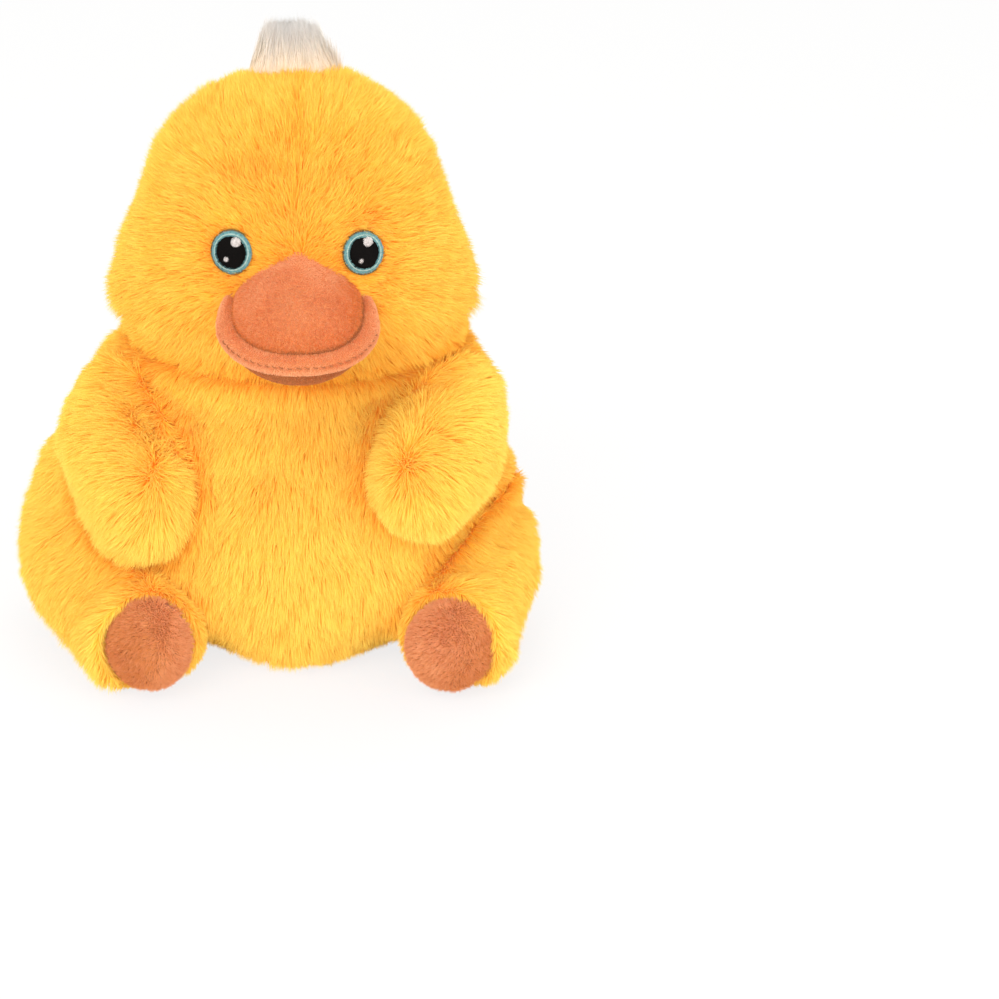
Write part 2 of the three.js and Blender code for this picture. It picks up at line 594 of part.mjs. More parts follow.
// Legs, then the wings that hang over them
const headTurn = { at: new THREE.Vector3(), axis: UP };
const headSwing = swept(headRoom.subtract(belowNeckRoom), headTurn, -HEAD_TURN, HEAD_TURN);
for (const [side, sign, hipMore, kneeOut, tipIn, tipForward, tipUp] of [
  ["left", 1, 0, 0, LEFT_TIP_IN, LEFT_TIP_FORWARD, LEFT_TIP_UP],
  ["right", -1, RIGHT_HIP_MORE, RIGHT_KNEE_OUT, 0, 0, 0],
]) {
  const hipTall = HIP_TALL + hipMore;
  const hipThick = HIP_THICK + hipMore;
  const station = (out, forward, up, tall, thick, round = 0) => ({
    at: new THREE.Vector3(sign * out, -forward, up),
    tall,
    thick,
    round,
  });
  const legStations = [
    station(HIP_OUT, -HIP_BACK - HIP_TAIL, hipTall - SIT_FLAT, hipTall, hipThick, hipThick),
    station((HIP_OUT + KNEE_OUT + kneeOut) / 2, -HIP_BACK, hipTall - SIT_FLAT, hipTall, hipThick),
    station(KNEE_OUT + kneeOut, KNEE_FORWARD, KNEE_TALL - SIT_FLAT, KNEE_TALL, KNEE_THICK),
    station(ANKLE_OUT, ANKLE_FORWARD, ANKLE_TALL - SIT_FLAT, ANKLE_TALL, ANKLE_THICK),
    station(FOOT_OUT, FOOT_FORWARD, FOOT_TALL - SIT_FLAT, FOOT_TALL, FOOT_THICK, FOOT_ROUND),
  ];
  const legForm = (inset, sides, rings) => limbForm(legStations, inset, sides, rings);
  const legHinge = { at: new THREE.Vector3(sign * LEG_HINGE_OUT, LEG_HINGE_BACK, 0), axis: UP };
  const legRoom = swept(bodyRoom, legHinge, 0, -sign * LEG_SPREAD);
  const legOuter = legForm(0, LIMB_SIDES, LIMB_RINGS);
  const padAt = new THREE.Vector3(sign * FOOT_OUT, -FOOT_FORWARD, FOOT_TALL - SIT_FLAT);
  const padForm = (outset) => {
    const dome = new THREE.SphereGeometry(1, FILL_SIDES, FILL_RINGS);
    dome.scale(PAD_HALF_WIDTH + outset, PAD_ROOT + PAD_DOME + outset, PAD_HALF_HEIGHT + outset);
    return solid(dome.translate(padAt.x, padAt.y + PAD_ROOT, padAt.z));
  };
  addPart(
    `leg_skin_${side}`,
    legOuter
      .subtract(legForm(PLUSH_THICKNESS, FILL_SIDES, FILL_RINGS))
      .subtract(legRoom)
      .subtract(padForm(SEAM_GAP))
      .subtract(belowFloor),
    plush,
  );
  addPart(
    `leg_filling_${side}`,
    legForm(PLUSH_THICKNESS + SEAM_GAP, FILL_SIDES, FILL_RINGS).subtract(legRoom).subtract(padForm(SEAM_GAP)),
    filling,
  );
  addPart(`foot_pad_${side}`, padForm(0).subtract(belowFloor), velour);

  const wingStations = [
    station(SHOULDER_OUT, SHOULDER_FORWARD, SHOULDER_UP, SHOULDER_WIDE, SHOULDER_THICK, SHOULDER_THICK),
    station(ELBOW_OUT - tipIn / 2, ELBOW_FORWARD + tipForward / 2, ELBOW_UP + tipUp / 2, ELBOW_WIDE, ELBOW_THICK),
    station(TIP_OUT - tipIn, TIP_FORWARD + tipForward, TIP_UP + tipUp, TIP_WIDE, TIP_THICK, TIP_WIDE),
  ];
  const wingForm = (inset, sides, rings) => limbForm(wingStations, inset, sides, rings);
  const lean = THREE.MathUtils.degToRad(WING_HINGE_TILT);
  const inward = new THREE.Vector3(-sign, -1, 0).normalize();
  const wingHinge = {
    at: new THREE.Vector3(sign * WING_HINGE_OUT, -WING_HINGE_FORWARD, SHOULDER_UP),
    axis: inward.multiplyScalar(Math.sin(lean)).addScaledVector(UP, Math.cos(lean)),
  };
  const legSwing = swept(legForm(-SEAM_GAP, LIMB_SIDES, LIMB_RINGS), legHinge, 0, sign * LEG_SPREAD);
  const wingRoom = swept(bodyRoom.add(headSwing), wingHinge, 0, -sign * WING_OPEN).add(legSwing);
  addPart(
    `wing_skin_${side}`,
    wingForm(0, LIMB_SIDES, LIMB_RINGS).subtract(wingForm(PLUSH_THICKNESS, FILL_SIDES, FILL_RINGS)).subtract(wingRoom),
    plush,
  );
  addPart(
    `wing_filling_${side}`,
    wingForm(PLUSH_THICKNESS + SEAM_GAP, FILL_SIDES, FILL_RINGS).subtract(wingRoom),
    filling,
  );
}

export default duck;
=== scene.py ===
"""Dresses the plush duck: long pile, velour, embroidered eyes and stitching, and the studio round it."""

import logging
import math
from dataclasses import dataclass, field
from enum import Enum
from functools import partial
from typing import Any, Iterable, Sequence

import bmesh
import bpy
import numpy as np
from mathutils import Matrix, Vector
from mathutils.bvhtree import BVHTree


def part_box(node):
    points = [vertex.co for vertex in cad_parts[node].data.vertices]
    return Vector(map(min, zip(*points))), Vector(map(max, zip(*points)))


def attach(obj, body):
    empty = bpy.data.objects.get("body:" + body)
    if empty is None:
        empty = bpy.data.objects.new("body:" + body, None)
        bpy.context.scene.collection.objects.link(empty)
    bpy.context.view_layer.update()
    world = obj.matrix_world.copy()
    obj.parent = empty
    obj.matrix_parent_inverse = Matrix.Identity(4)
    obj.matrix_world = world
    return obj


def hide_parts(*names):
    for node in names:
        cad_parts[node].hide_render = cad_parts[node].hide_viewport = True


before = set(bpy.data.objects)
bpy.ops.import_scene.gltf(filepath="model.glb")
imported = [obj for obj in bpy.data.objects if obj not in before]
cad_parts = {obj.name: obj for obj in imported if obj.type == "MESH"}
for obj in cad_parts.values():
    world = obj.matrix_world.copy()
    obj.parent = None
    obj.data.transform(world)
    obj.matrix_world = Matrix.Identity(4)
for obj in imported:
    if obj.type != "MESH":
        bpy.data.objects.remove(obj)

log = logging.getLogger("plush_duck")

MM = 0.001
TINY = 1e-9  # keeps a division from meeting 0
FAR = 9.0  # out of reach of a pad, in its radii
LIGHT_IN_PILE = 8  # how often light goes on from fibre to fibre, which makes deep pile glow orange, not brown
BAKE_UV = "OFBake"  # the map that holds each fibre's tone across and its way from root to tip along
DEEP_SHARE = 0.3  # the part of a fibre's tone that goes from deep, the painted shade, to warm
MATH, VECTOR = "ShaderNodeMath", "ShaderNodeVectorMath"
NUMBER, ARROW = "FLOAT", "FLOAT_VECTOR"  # the two types of a named field
# the bed's pale field holds the painted light and shade of the pile
BED_FIELDS = {"skin_normal": ARROW, "cover": NUMBER, "pile": NUMBER, "comb": ARROW, "wild": NUMBER, "pale": NUMBER}
FIBRE_FIELDS = {"root": ARROW, "way": ARROW, "gather": ARROW, "side": ARROW, "tall": NUMBER, "tone": NUMBER}
CONE_FIELDS = {"along": NUMBER, "edge": ARROW}
MIX_A, MIX_B, MIX_RESULT = 6, 7, 2  # the colour sockets of a Mix node set to RGBA


class Body(Enum):
    """The moving bodies of the toy."""

    TORSO = "torso"
    HEAD = "head"
    WING_LEFT = "wing_left"
    WING_RIGHT = "wing_right"
    LEG_LEFT = "leg_left"
    LEG_RIGHT = "leg_right"


def linear(code: str, alpha: float = 1.0) -> tuple[float, float, float, float]:
    """Turns an sRGB hex colour into the linear values that a shader takes.

    Args:
        code: six hex digits, such as "F9BD33".
        alpha: opacity, from 0 to 1.

    Returns:
        Red, green, blue and alpha, linear.
    """
    parts = [int(code[i : i + 2], 16) / 255 for i in (0, 2, 4)]
    r, g, b = (p / 12.92 if p <= 0.04045 else ((p + 0.055) / 1.055) ** 2.4 for p in parts)
    return (r, g, b, alpha)


def wire(tree: bpy.types.NodeTree, made: bpy.types.Node, links: dict[Any, Any]) -> None:
    """Links or sets a node's inputs.

    Args:
        tree: the node tree.
        made: the node.
        links: input name or number to a socket, to a node whose first output is meant, or to a plain value.
    """
    for key, value in links.items():
        if isinstance(value, bpy.types.Node):
            value = value.outputs[0]
        if isinstance(value, bpy.types.NodeSocket):
            tree.links.new(value, made.inputs[key])
        else:
            made.inputs[key].default_value = value


def add_node(tree: bpy.types.NodeTree, kind: str, links: dict[Any, Any] | None = None, **settings: Any) -> Any:
    """Adds a node, sets it up and links it.

    Args:
        tree: the node tree to add to.
        kind: the node's type name.
        links: what its inputs take, as wire has it.
        **settings: properties of the node itself.

    Returns:
        The new node.
    """
    made = tree.nodes.new(kind)
    for name, value in settings.items():
        setattr(made, name, value)
    wire(tree, made, links or {})
    return made


def new_object(name: str, data: bpy.types.ID) -> bpy.types.Object:
    """Puts a mesh, a lamp or a camera into the scene as an object at the origin.

    Args:
        name: its name.
        data: the mesh, lamp or camera.

    Returns:
        The object.
    """
    made = bpy.data.objects.new(name, data)
    bpy.context.scene.collection.objects.link(made)
    return made


def evaluated_copy(source: bpy.types.Object, name: str) -> bpy.types.Object:
    """Makes a plain mesh object of what an object's modifiers give, and removes the first object.

    Args:
        source: the object with live modifiers.
        name: the new object's name.

    Returns:
        The new object, with no modifiers.
    """
    graph = bpy.context.evaluated_depsgraph_get()
    shaped = source.evaluated_get(graph)
    mesh = bpy.data.meshes.new_from_object(shaped, preserve_all_data_layers=True, depsgraph=graph)
    mesh.name = name
    bpy.data.objects.remove(source)
    return new_object(name, mesh)


def positions(mesh: bpy.types.Mesh) -> np.ndarray:
    """The mesh's vertices as rows of x, y, z.

    Args:
        mesh: the mesh.

    Returns:
        The rows.
    """
    flat = np.empty(len(mesh.vertices) * 3, np.float32)
    mesh.vertices.foreach_get("co", flat)
    return flat.reshape(-1, 3)


def vertex_normals(mesh: bpy.types.Mesh) -> np.ndarray:
    """The mesh's vertex normals as rows of x, y, z.

    Args:
        mesh: the mesh.

    Returns:
        The rows.
    """
    flat = np.empty(len(mesh.vertices) * 3, np.float32)
    mesh.vertex_normals.foreach_get("vector", flat)
    return flat.reshape(-1, 3)


def move_to(mesh: bpy.types.Mesh, spots: np.ndarray) -> None:
    """Moves the mesh's vertices to new places."""
    mesh.vertices.foreach_set("co", spots.astype(np.float32).ravel())
    mesh.update()


def sunk_in(mesh: bpy.types.Mesh, depth: float) -> None:
    """Moves a closed skin inwards by a depth in millimetres."""
    move_to(mesh, positions(mesh) - vertex_normals(mesh) * depth * MM)


def shade_smooth(mesh: bpy.types.Mesh) -> None:
    """Shades the whole mesh smooth."""
    for polygon in mesh.polygons:
        polygon.use_smooth = True


def finish_with(mesh: bpy.types.Mesh, finish: bpy.types.Material) -> None:
    """Gives the mesh one finish."""
    mesh.materials.clear()
    mesh.materials.append(finish)


def sewn_to(
    piece: bpy.types.Object, body: Body, nodes: Sequence[str] = ()
) -> bpy.types.Object:
    """Says which body a piece moves with and what it stands for.

    Args:
        piece: the finished piece.
        body: the body.
        nodes: the CAD nodes that it replaces.

    Returns:
        The piece.
    """
    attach(piece, body.value)
    if nodes:
        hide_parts(*nodes)
    return piece


def bed_of(form: bpy.types.Object, **fields: np.ndarray) -> bpy.types.Object:
    """Copies a shape as the bed that its pile grows on.

    Args:
        form: the shape.
        **fields: a value for each vertex, by the names in BED_FIELDS.

    Returns:
        The bed.
    """
    made = new_object(f"{form.name}_bed", form.data.copy())
    for name, values in fields.items():
        kind = BED_FIELDS[name]
        data = made.data.attributes.new(name, kind, "POINT").data
        data.foreach_set("value" if kind == NUMBER else "vector", np.ascontiguousarray(values, np.float32).ravel())
    return made


def smoothstep(value: np.ndarray, low: float, high: float) -> np.ndarray:
    """0 below low, 1 above high, and a smooth rise between."""
    t = np.clip((value - low) / (high - low), 0, 1)
    return t * t * (3 - 2 * t)


def rise(value: np.ndarray, span: tuple[float, float]) -> np.ndarray:
    """0 below a span in millimetres, 1 above it, and a smooth rise between."""
    return smoothstep(value, span[0] * MM, span[1] * MM)


def bell(value: np.ndarray, width: float) -> np.ndarray:
    """1 at 0, falling to 0 on both sides over a width."""
    return np.exp(-((value / width) ** 2))


def mound(spots: np.ndarray, middle: Any, size: Any) -> np.ndarray:
    """1 at a middle, falling to 0 round it over a size along each axis."""
    off = (spots - np.array(middle)) / np.array(size)
    return np.exp(-np.sum(off * off, axis=1))


def box_of(node: str) -> tuple[np.ndarray, np.ndarray]:
    """The low and the high corner of a CAD node's box."""
    low, high = (np.array(v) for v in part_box(node))
    return low, high


def node_tree_of(nodes: Iterable[str]) -> BVHTree:
    """A search tree over the surfaces of some CAD nodes.

    Args:
        nodes: the nodes' names.

    Returns:
        The tree.
    """
    points: list[Vector] = []
    faces: list[tuple[int, ...]] = []
    for name in nodes:
        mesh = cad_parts[name].data
        start = len(points)
        points.extend(v.co.copy() for v in mesh.vertices)
        faces.extend(tuple(start + i for i in p.vertices) for p in mesh.polygons)
    return BVHTree.FromPolygons(points, faces)


# ---------------------------------------------------------------- finishes


def new_material(name: str) -> tuple[bpy.types.Material, bpy.types.NodeTree, bpy.types.Node]:
    """A new material, its node tree and its surface shader.

    Args:
        name: its name.

    Returns:
        The material, the tree and the shader.
    """
    made = bpy.data.materials.new(name)
    made.use_nodes = True
    return made, made.node_tree, made.node_tree.nodes["Principled BSDF"]


def set_ramp(ramp: bpy.types.Node, *stops: tuple[float, str]) -> None:
    """Gives a colour ramp its two stops, each a place and a hex colour."""
    for stop, (place, code) in zip(ramp.color_ramp.elements, stops):
        stop.position, stop.color = place, linear(code)


@dataclass(frozen=True)
class PileFinish:
    """Polyester pile: each fibre is deeper in colour at its root, a painted shade of the pile's depth, and lighter at
    its tip, a painted light; fibres go from deep, the painted shade, to warm to pale.
    """

    name: str
    deep: tuple[str, str]  # root and tip of the painted shade, in seams, creases and other shaded places
    warm: tuple[str, str]  # root and tip of the warmest fibres in the open
    pale: tuple[str, str]  # root and tip of the palest
    roughness: float = 0.85
    sheen: float = 0.25
    sheen_tint: str = "FFF2C0"
    shine: float = 0.2
    tip_from: float = 0.9  # where the tip's colour is reached, of the fibre's length

    def material(self) -> bpy.types.Material:
        """Makes the material, which reads the fibre's tone and place from its UV map.

        Returns:
            The material.
        """
        made, tree, shader = new_material(self.name)
        place = add_node(tree, "ShaderNodeUVMap", uv_map=BAKE_UV)
        split = add_node(tree, "ShaderNodeSeparateXYZ", {"Vector": place})
        colours = []
        # each ramp runs from painted shade at the root to painted light at the tip
        for root, tip in (self.deep, self.warm, self.pale):
            ramp = add_node(tree, "ShaderNodeValToRGB", {"Fac": split.outputs["Y"]})
            set_ramp(ramp, (0.0, root), (self.tip_from, tip))
            colours.append(ramp)
        mixed: Any = colours[0]
        for start, end, colour in ((0.0, DEEP_SHARE, colours[1]), (DEEP_SHARE, 1.0, colours[2])):
            reach = {"Value": split.outputs["X"], "From Min": start, "From Max": end}
            share = add_node(tree, "ShaderNodeMapRange", reach)
            step = add_node(tree, "ShaderNodeMix", {"Factor": share, MIX_A: mixed, MIX_B: colour}, data_type="RGBA")
            mixed = step.outputs[MIX_RESULT]
        look = {"Base Color": mixed, "Roughness": self.roughness, "Specular IOR Level": self.shine}
        wire(tree, shader, {**look, "Sheen Weight": self.sheen, "Sheen Tint": linear(self.sheen_tint)})
        return made


@dataclass(frozen=True)
class ClothFinish:
    """A knitted or woven ground, or thread, with fine grain."""

    name: str
    colour: str
    dark: str
    grain_mm: float = 0.8  # a knit's loops are about half as wide, but would not show
    roughness: float = 0.9
    bump: float = 0.3
    sheen: float = 0.2
    shine: float = 0.25
    dark_to: float = 0.3  # the grain's height up to which the dark colour goes
    colour_from: float = 0.65  # the grain's height from which the full colour goes

    def material(self) -> bpy.types.Material:
        """Makes the material on object coordinates.

        Returns:
            The material.
        """
        made, tree, shader = new_material(self.name)
        grain_size = self.grain_mm * MM
        place = add_node(tree, "ShaderNodeTexCoord").outputs["Object"]
        grain = add_node(tree, "ShaderNodeTexNoise", {"Vector": place, "Scale": 1 / grain_size, "Detail": 3.0})
        ramp = add_node(tree, "ShaderNodeValToRGB", {"Fac": grain})
        set_ramp(ramp, (self.dark_to, self.dark), (self.colour_from, self.colour))
        relief = add_node(tree, "ShaderNodeBump", {"Height": grain, "Strength": self.bump, "Distance": grain_size})
        look = {"Base Color": ramp, "Roughness": self.roughness, "Specular IOR Level": self.shine}
        wire(tree, shader, {**look, "Normal": relief, "Sheen Weight": self.sheen})
        return made


# ---------------------------------------------------------------- node trees


class NodeWork:
    """A Geometry Nodes tree with named inputs, which makes what repeats and gives it its finish."""

    name = ""
    inputs: dict[str, str] = {}  # the type of each input

    def __init__(self) -> None:
        """Makes the tree with its sockets and lays it out."""
        self.tree = bpy.data.node_groups.new(self.name, "GeometryNodeTree")
        self.tree.interface.new_socket("Geometry", in_out="OUTPUT", socket_type="NodeSocketGeometry")
        for label, kind in {"Geometry": "Geometry", **self.inputs, "Finish": "Material"}.items():
            self.tree.interface.new_socket(label, in_out="INPUT", socket_type=f"NodeSocket{kind}")
        self.use = self.tree.nodes.new("NodeGroupInput").outputs
        self.add = partial(add_node, self.tree)
        dressed = self.add("GeometryNodeSetMaterial", {"Geometry": self.build(), "Material": self.use["Finish"]})
        self.add("NodeGroupOutput", {"Geometry": dressed})

    def build(self) -> Any:
        """Lays out the tree and gives the geometry that the finish goes on."""
        raise NotImplementedError

    def run(self, obj: bpy.types.Object, name: str, **values: Any) -> bpy.types.Object:
        """Runs the tree on an object and keeps the result as a plain mesh.

        Args:
            obj: the object to start from, which is used up.
            name: the new piece's name.
            **values: the tree's inputs by name, with _ for a space.

        Returns:
            The new piece.
        """
        modifier = obj.modifiers.new("nodes", "NODES")
        modifier.node_group = self.tree
        sockets = [item for item in self.tree.interface.items_tree if item.item_type == "SOCKET"]
        known = {item.name: item.identifier for item in sockets if item.in_out == "INPUT"}
        for key, value in values.items():
            modifier[known[key.replace("_", " ")]] = value
        return evaluated_copy(obj, name)


@dataclass(frozen=True)
class PileCut:
    """How a plush is cut and brushed, in millimetres and shares."""

    length: float = 10.0
    width: float = 0.7  # a few times a real fibre's, so that single fibres show
    per_mm2: float = 2.8
    clump: float = 7.0
    clump_pull: float = 0.22
    wisp: float = 2.2
    wisp_pull: float = 0.55
    comb: float = 1.1
    stray: float = 0.25
    droop: float = 0.1
    roundness: float = 0.5


class PileWork(NodeWork):
    """Grows fibres on a skin."""

    name = "grow_pile"
    sizes = (
        "Length", "Width", "Density", "Clump Size", "Clump Pull", "Wisp Size", "Wisp Pull", "Comb", "Stray", "Droop",
        "Roundness",
    )
    inputs = {**dict.fromkeys(sizes, "Float"), "Seed": "Int"}
    swirls, patches = 48.0, 45.0  # how many swirls and patches of tone lie on a metre: each is over 20 mm wide
    swirl_pull = 2.0
    heights = (0.72, 1.05)  # the shortest and the longest fibre, of the pile's length
    tuft_least, tuft_more = 0.89, 0.22  # a tuft's least height, and how much higher it may be
    twist = 0.9  # how far a fibre is turned about itself, in radians
    tones = (0.2, 0.35, 0.4, 0.3)  # what clump, wisp, patch and the single fibre give to the tone
    lean_late = 1.5  # the power of the way up with which a fibre leans to its tuft
    own_light = 0.35  # how much a fibre's own direction counts in its shading
    margin = 0.03  # what is left free at both ends of the strip of tones

    def scaled(self, way: Any, factor: Any) -> Any:
        """A vector times a number."""
        return self.add(VECTOR, {0: way, "Scale": factor}, operation="SCALE")

    def pushed(self, spot: Any, way: Any, factor: Any) -> Any:
        """A vector plus another one times a number."""
        return self.add(VECTOR, {0: spot, 1: self.scaled(way, factor)}, operation="ADD")

    def raised(self, total: Any, value: Any, factor: Any) -> Any:
        """A number plus another one times a factor."""
        part = self.add(MATH, {0: value, 1: factor}, operation="MULTIPLY")
        return self.add(MATH, {0: total, 1: part}, operation="ADD")

    def product(self, *values: Any) -> Any:
        """The product of some numbers.

        Args:
            *values: the numbers or their sockets.

        Returns:
            The product's socket.
        """
        made = values[0]
        for value in values[1:]:
            made = self.add(MATH, {0: made, 1: value}, operation="MULTIPLY")
        return made

    def fields(self, kinds: dict[str, str]) -> dict[str, Any]:
        """Reads named fields."""
        kind_of_node = "GeometryNodeInputNamedAttribute"
        return {name: self.add(kind_of_node, {"Name": name}, data_type=kind) for name, kind in kinds.items()}

    def random(self, low: float, high: float, offset: int) -> Any:
        """A random number for each point, from the tree's seed.

        Args:
            low: the lowest value.
            high: the highest.
            offset: what is added to the seed.

        Returns:
            Its socket.
        """
        seed = self.add(MATH, {0: self.use["Seed"], 1: float(offset)}, operation="ADD")
        made = self.add("FunctionNodeRandomValue", {2: low, 3: high, "Seed": seed}, data_type=NUMBER)
        return made.outputs[1]

    def flat(self, way: Any, normal: Any) -> Any:
        """The part of a vector that lies along the skin."""
        out = self.add(VECTOR, {0: way, 1: normal}, operation="DOT_PRODUCT").outputs["Value"]
        return self.add(VECTOR, {0: way, 1: self.scaled(normal, out)}, operation="SUBTRACT")

    def toward_cell(self, root: Any, normal: Any, size: Any) -> tuple[Any, Any]:
        """A vector along the skin to the middle of the fibre's tuft, and the tuft's own random number.

        Args:
            root: where the fibre stands.
            normal: the skin's normal there.
            size: how far apart tufts lie.

        Returns:
            The vector and the number.
        """
        scale = self.add(MATH, {0: 1.0, 1: size}, operation="DIVIDE")
        cell = self.add("ShaderNodeTexVoronoi", {"Vector": root, "Scale": scale})
        away = self.add(VECTOR, {0: cell.outputs["Position"], 1: root}, operation="SUBTRACT")
        return self.flat(away, normal), self.add("ShaderNodeSeparateXYZ", {"Vector": cell.outputs["Color"]})

    def build(self) -> Any:
        """Lays out the whole tree: points, their vectors, blades, and the bend of each blade.

        Returns:
            The finished pile.
        """
        points, skin = self.planted()
        grown = self.add("GeometryNodeInstanceOnPoints", {"Points": points, "Instance": self.fibre()})
        real = self.add("GeometryNodeRealizeInstances", {"Geometry": grown})
        return self.bent(real, skin)

    def planted(self) -> tuple[Any, dict[str, Any]]:
        """Spreads the points and stores what each fibre is: its way, its height, its tuft and its tone.

        Returns:
            The points and the bed's fields.
        """
        use, add, skin = self.use, self.add, self.fields(BED_FIELDS)
        thick = self.product(use["Density"], skin["cover"])
        spread = add(
            "GeometryNodeDistributePointsOnFaces",
            {"Mesh": use["Geometry"], "Density": thick, "Seed": use["Seed"]},
            distribute_method="RANDOM",
        )
        root = add("GeometryNodeInputPosition")
        normal = add(VECTOR, {0: skin["skin_normal"]}, operation="NORMALIZE")
        clump, clump_tone = self.toward_cell(root, normal, use["Clump Size"])
        wisp, wisp_tone = self.toward_cell(root, normal, use["Wisp Size"])
        swirl = add("ShaderNodeTexNoise", {"Vector": root, "Scale": self.swirls, "Detail": 2.0}).outputs["Color"]
        swirl = add(VECTOR, {0: swirl, 1: (0.5, 0.5, 0.5)}, operation="SUBTRACT")
        span = {0: (-1.0, -1.0, -1.0), 1: (1.0, 1.0, 1.0)}
        stray = add("FunctionNodeRandomValue", {**span, "Seed": use["Seed"]}, data_type=ARROW)
        way = self.pushed(normal, skin["comb"], use["Comb"])
        way = self.pushed(way, self.flat(swirl, normal), self.product(skin["wild"], self.swirl_pull))
        way = self.pushed(way, self.flat(stray, normal), self.product(skin["wild"], use["Stray"]))
        way = add(VECTOR, {0: way}, operation="NORMALIZE")
        even = add(MATH, {0: self.product(clump_tone, self.tuft_more), 1: self.tuft_least}, operation="ADD")
        tall = self.product(use["Length"], skin["pile"], self.random(*self.heights, 11), even)
        gather = self.pushed(self.scaled(clump, use["Clump Pull"]), wisp, use["Wisp Pull"])
        side = add(VECTOR, {0: way, 1: normal}, operation="CROSS_PRODUCT")
        twist = {"Vector": side, "Axis": way, "Angle": self.random(-self.twist, self.twist, 23)}
        side = add(VECTOR, {0: add("ShaderNodeVectorRotate", twist, rotation_type="AXIS_ANGLE")}, operation="NORMALIZE")
        patch = add("ShaderNodeTexNoise", {"Vector": root, "Scale": self.patches, "Detail": 1.0})
        by_clump, by_wisp, by_patch, by_fibre = self.tones
        tone = self.raised(self.product(clump_tone, by_clump), wisp_tone, by_wisp)
        tone = self.raised(tone, patch, by_patch)
        # the bed's pale field adds the painted light and shade to the tone
        for more in (self.random(0.0, by_fibre, 37), skin["pale"]):
            tone = add(MATH, {0: tone, 1: more}, operation="ADD")
        tone = add(MATH, {0: self.product(tone, 1 - DEEP_SHARE), 1: DEEP_SHARE}, operation="ADD")
        points: Any = spread
        for label, value in zip(FIBRE_FIELDS, (root, self.scaled(way, tall), gather, side, tall, tone)):
            kind = FIBRE_FIELDS[label]
            stored = {"Geometry": points, "Name": label, "Value": value}
            points = add("GeometryNodeStoreNamedAttribute", stored, data_type=kind, domain="POINT")
        return points, skin

    def fibre(self) -> Any:
        """One fibre: a three-sided cone, with its place along and across stored on it.

        Returns:
            The cone.
        """
        size = {"Vertices": 3, "Side Segments": 1, "Radius Top": 0.0, "Radius Bottom": 0.5, "Depth": 1.0}
        shaped = self.add("GeometryNodeMeshCone", size, fill_type="NONE")
        spot = self.add("GeometryNodeInputPosition")
        height = self.add("ShaderNodeSeparateXYZ", {"Vector": spot}).outputs["Z"]
        for (label, kind), value in zip(CONE_FIELDS.items(), (height, spot)):
            stored = {"Geometry": shaped, "Name": label, "Value": value}
            shaped = self.add("GeometryNodeStoreNamedAttribute", stored, data_type=kind, domain="POINT")
        return shaped

    def bent(self, blades: Any, skin: dict[str, Any]) -> Any:
        """Bends each fibre, gives it its thickness, its shading and its tone, and clears the fields.

        Args:
            blades: the realized fibres.
            skin: the bed's fields.

        Returns:
            The finished pile.
        """
        use, add, own = self.use, self.add, self.fields({**FIBRE_FIELDS, **CONE_FIELDS})
        along = own["along"]
        place = self.pushed(own["root"], own["way"], along)
        place = self.pushed(place, own["gather"], add(MATH, {0: along, 1: self.lean_late}, operation="POWER"))
        sag = self.product(self.product(own["tall"], use["Droop"]), self.product(along, -1.0))
        place = add(VECTOR, {0: place, 1: add("ShaderNodeCombineXYZ", {"Z": sag})}, operation="ADD")
        edge = add("ShaderNodeSeparateXYZ", {"Vector": own["edge"]})
        other = add(VECTOR, {0: own["way"], 1: own["side"]}, operation="CROSS_PRODUCT")
        other = add(VECTOR, {0: other}, operation="NORMALIZE")
        for axis, label in ((own["side"], "X"), (other, "Y")):
            place = self.pushed(place, axis, self.product(edge.outputs[label], use["Width"]))
        shaped = add("GeometryNodeSetPosition", {"Geometry": blades, "Position": place})
        soft = self.pushed(skin["skin_normal"], add("GeometryNodeInputNormal"), use["Roundness"])
        soft = self.pushed(soft, add(VECTOR, {0: own["way"]}, operation="NORMALIZE"), self.own_light)
        soft = add(VECTOR, {0: soft}, operation="NORMALIZE")
        lit = add("GeometryNodeSetMeshNormal", {"Mesh": shaped}, mode="FREE", domain="POINT")
        wire(self.tree, lit, {"Custom Normal": soft})
        strip = self.product(add("ShaderNodeClamp", {"Value": own["tone"]}), 1 - 2 * self.margin)
        strip = add(MATH, {0: strip, 1: self.margin}, operation="ADD")
        strip = self.raised(strip, edge.outputs["X"], self.margin)
        uv = add("ShaderNodeCombineXYZ", {"X": strip, "Y": along})
        stored = {"Geometry": lit, "Name": BAKE_UV, "Value": uv}
        done = add("GeometryNodeStoreNamedAttribute", stored, data_type="FLOAT2", domain="CORNER")
        for label in (*BED_FIELDS, *FIBRE_FIELDS, *CONE_FIELDS):
            done = add("GeometryNodeRemoveAttribute", {"Geometry": done, "Name": label})
        return done


class ThreadWork(NodeWork):
    """Turns sewn paths into round threads with thin ends."""

    name = "lay_threads"
    inputs = {"Radius": "Float", "Taper": "Float"}

    def build(self) -> Any:
        """Lays out the tree: paths to curves, a radius that falls at the ends, and a round section.

        Returns:
            The threads.
        """
        use, add = self.use, self.add
        steps = (("SUBTRACT", 0.5), ("ABSOLUTE", 0.0), ("MULTIPLY", 2.0), ("POWER", 4.0), ("MULTIPLY", use["Taper"]))
        fall = add("GeometryNodeSplineParameter")
        for operation, other in steps:
            fall = add(MATH, {0: fall, 1: other}, operation=operation)
        share = add(MATH, {0: 1.0, 1: fall}, operation="SUBTRACT")
        radius = add(MATH, {0: share, 1: use["Radius"]}, operation="MULTIPLY")
        curve = add("GeometryNodeMeshToCurve", {"Mesh": use["Geometry"]})
        section = add("GeometryNodeCurvePrimitiveCircle", {"Resolution": 6, "Radius": 1.0})
        swept = {"Curve": curve, "Profile Curve": section, "Scale": radius, "Fill Caps": True}
        return add("GeometryNodeRealizeInstances", {"Geometry": add("GeometryNodeCurveToMesh", swept)})


# ---------------------------------------------------------------- workshop


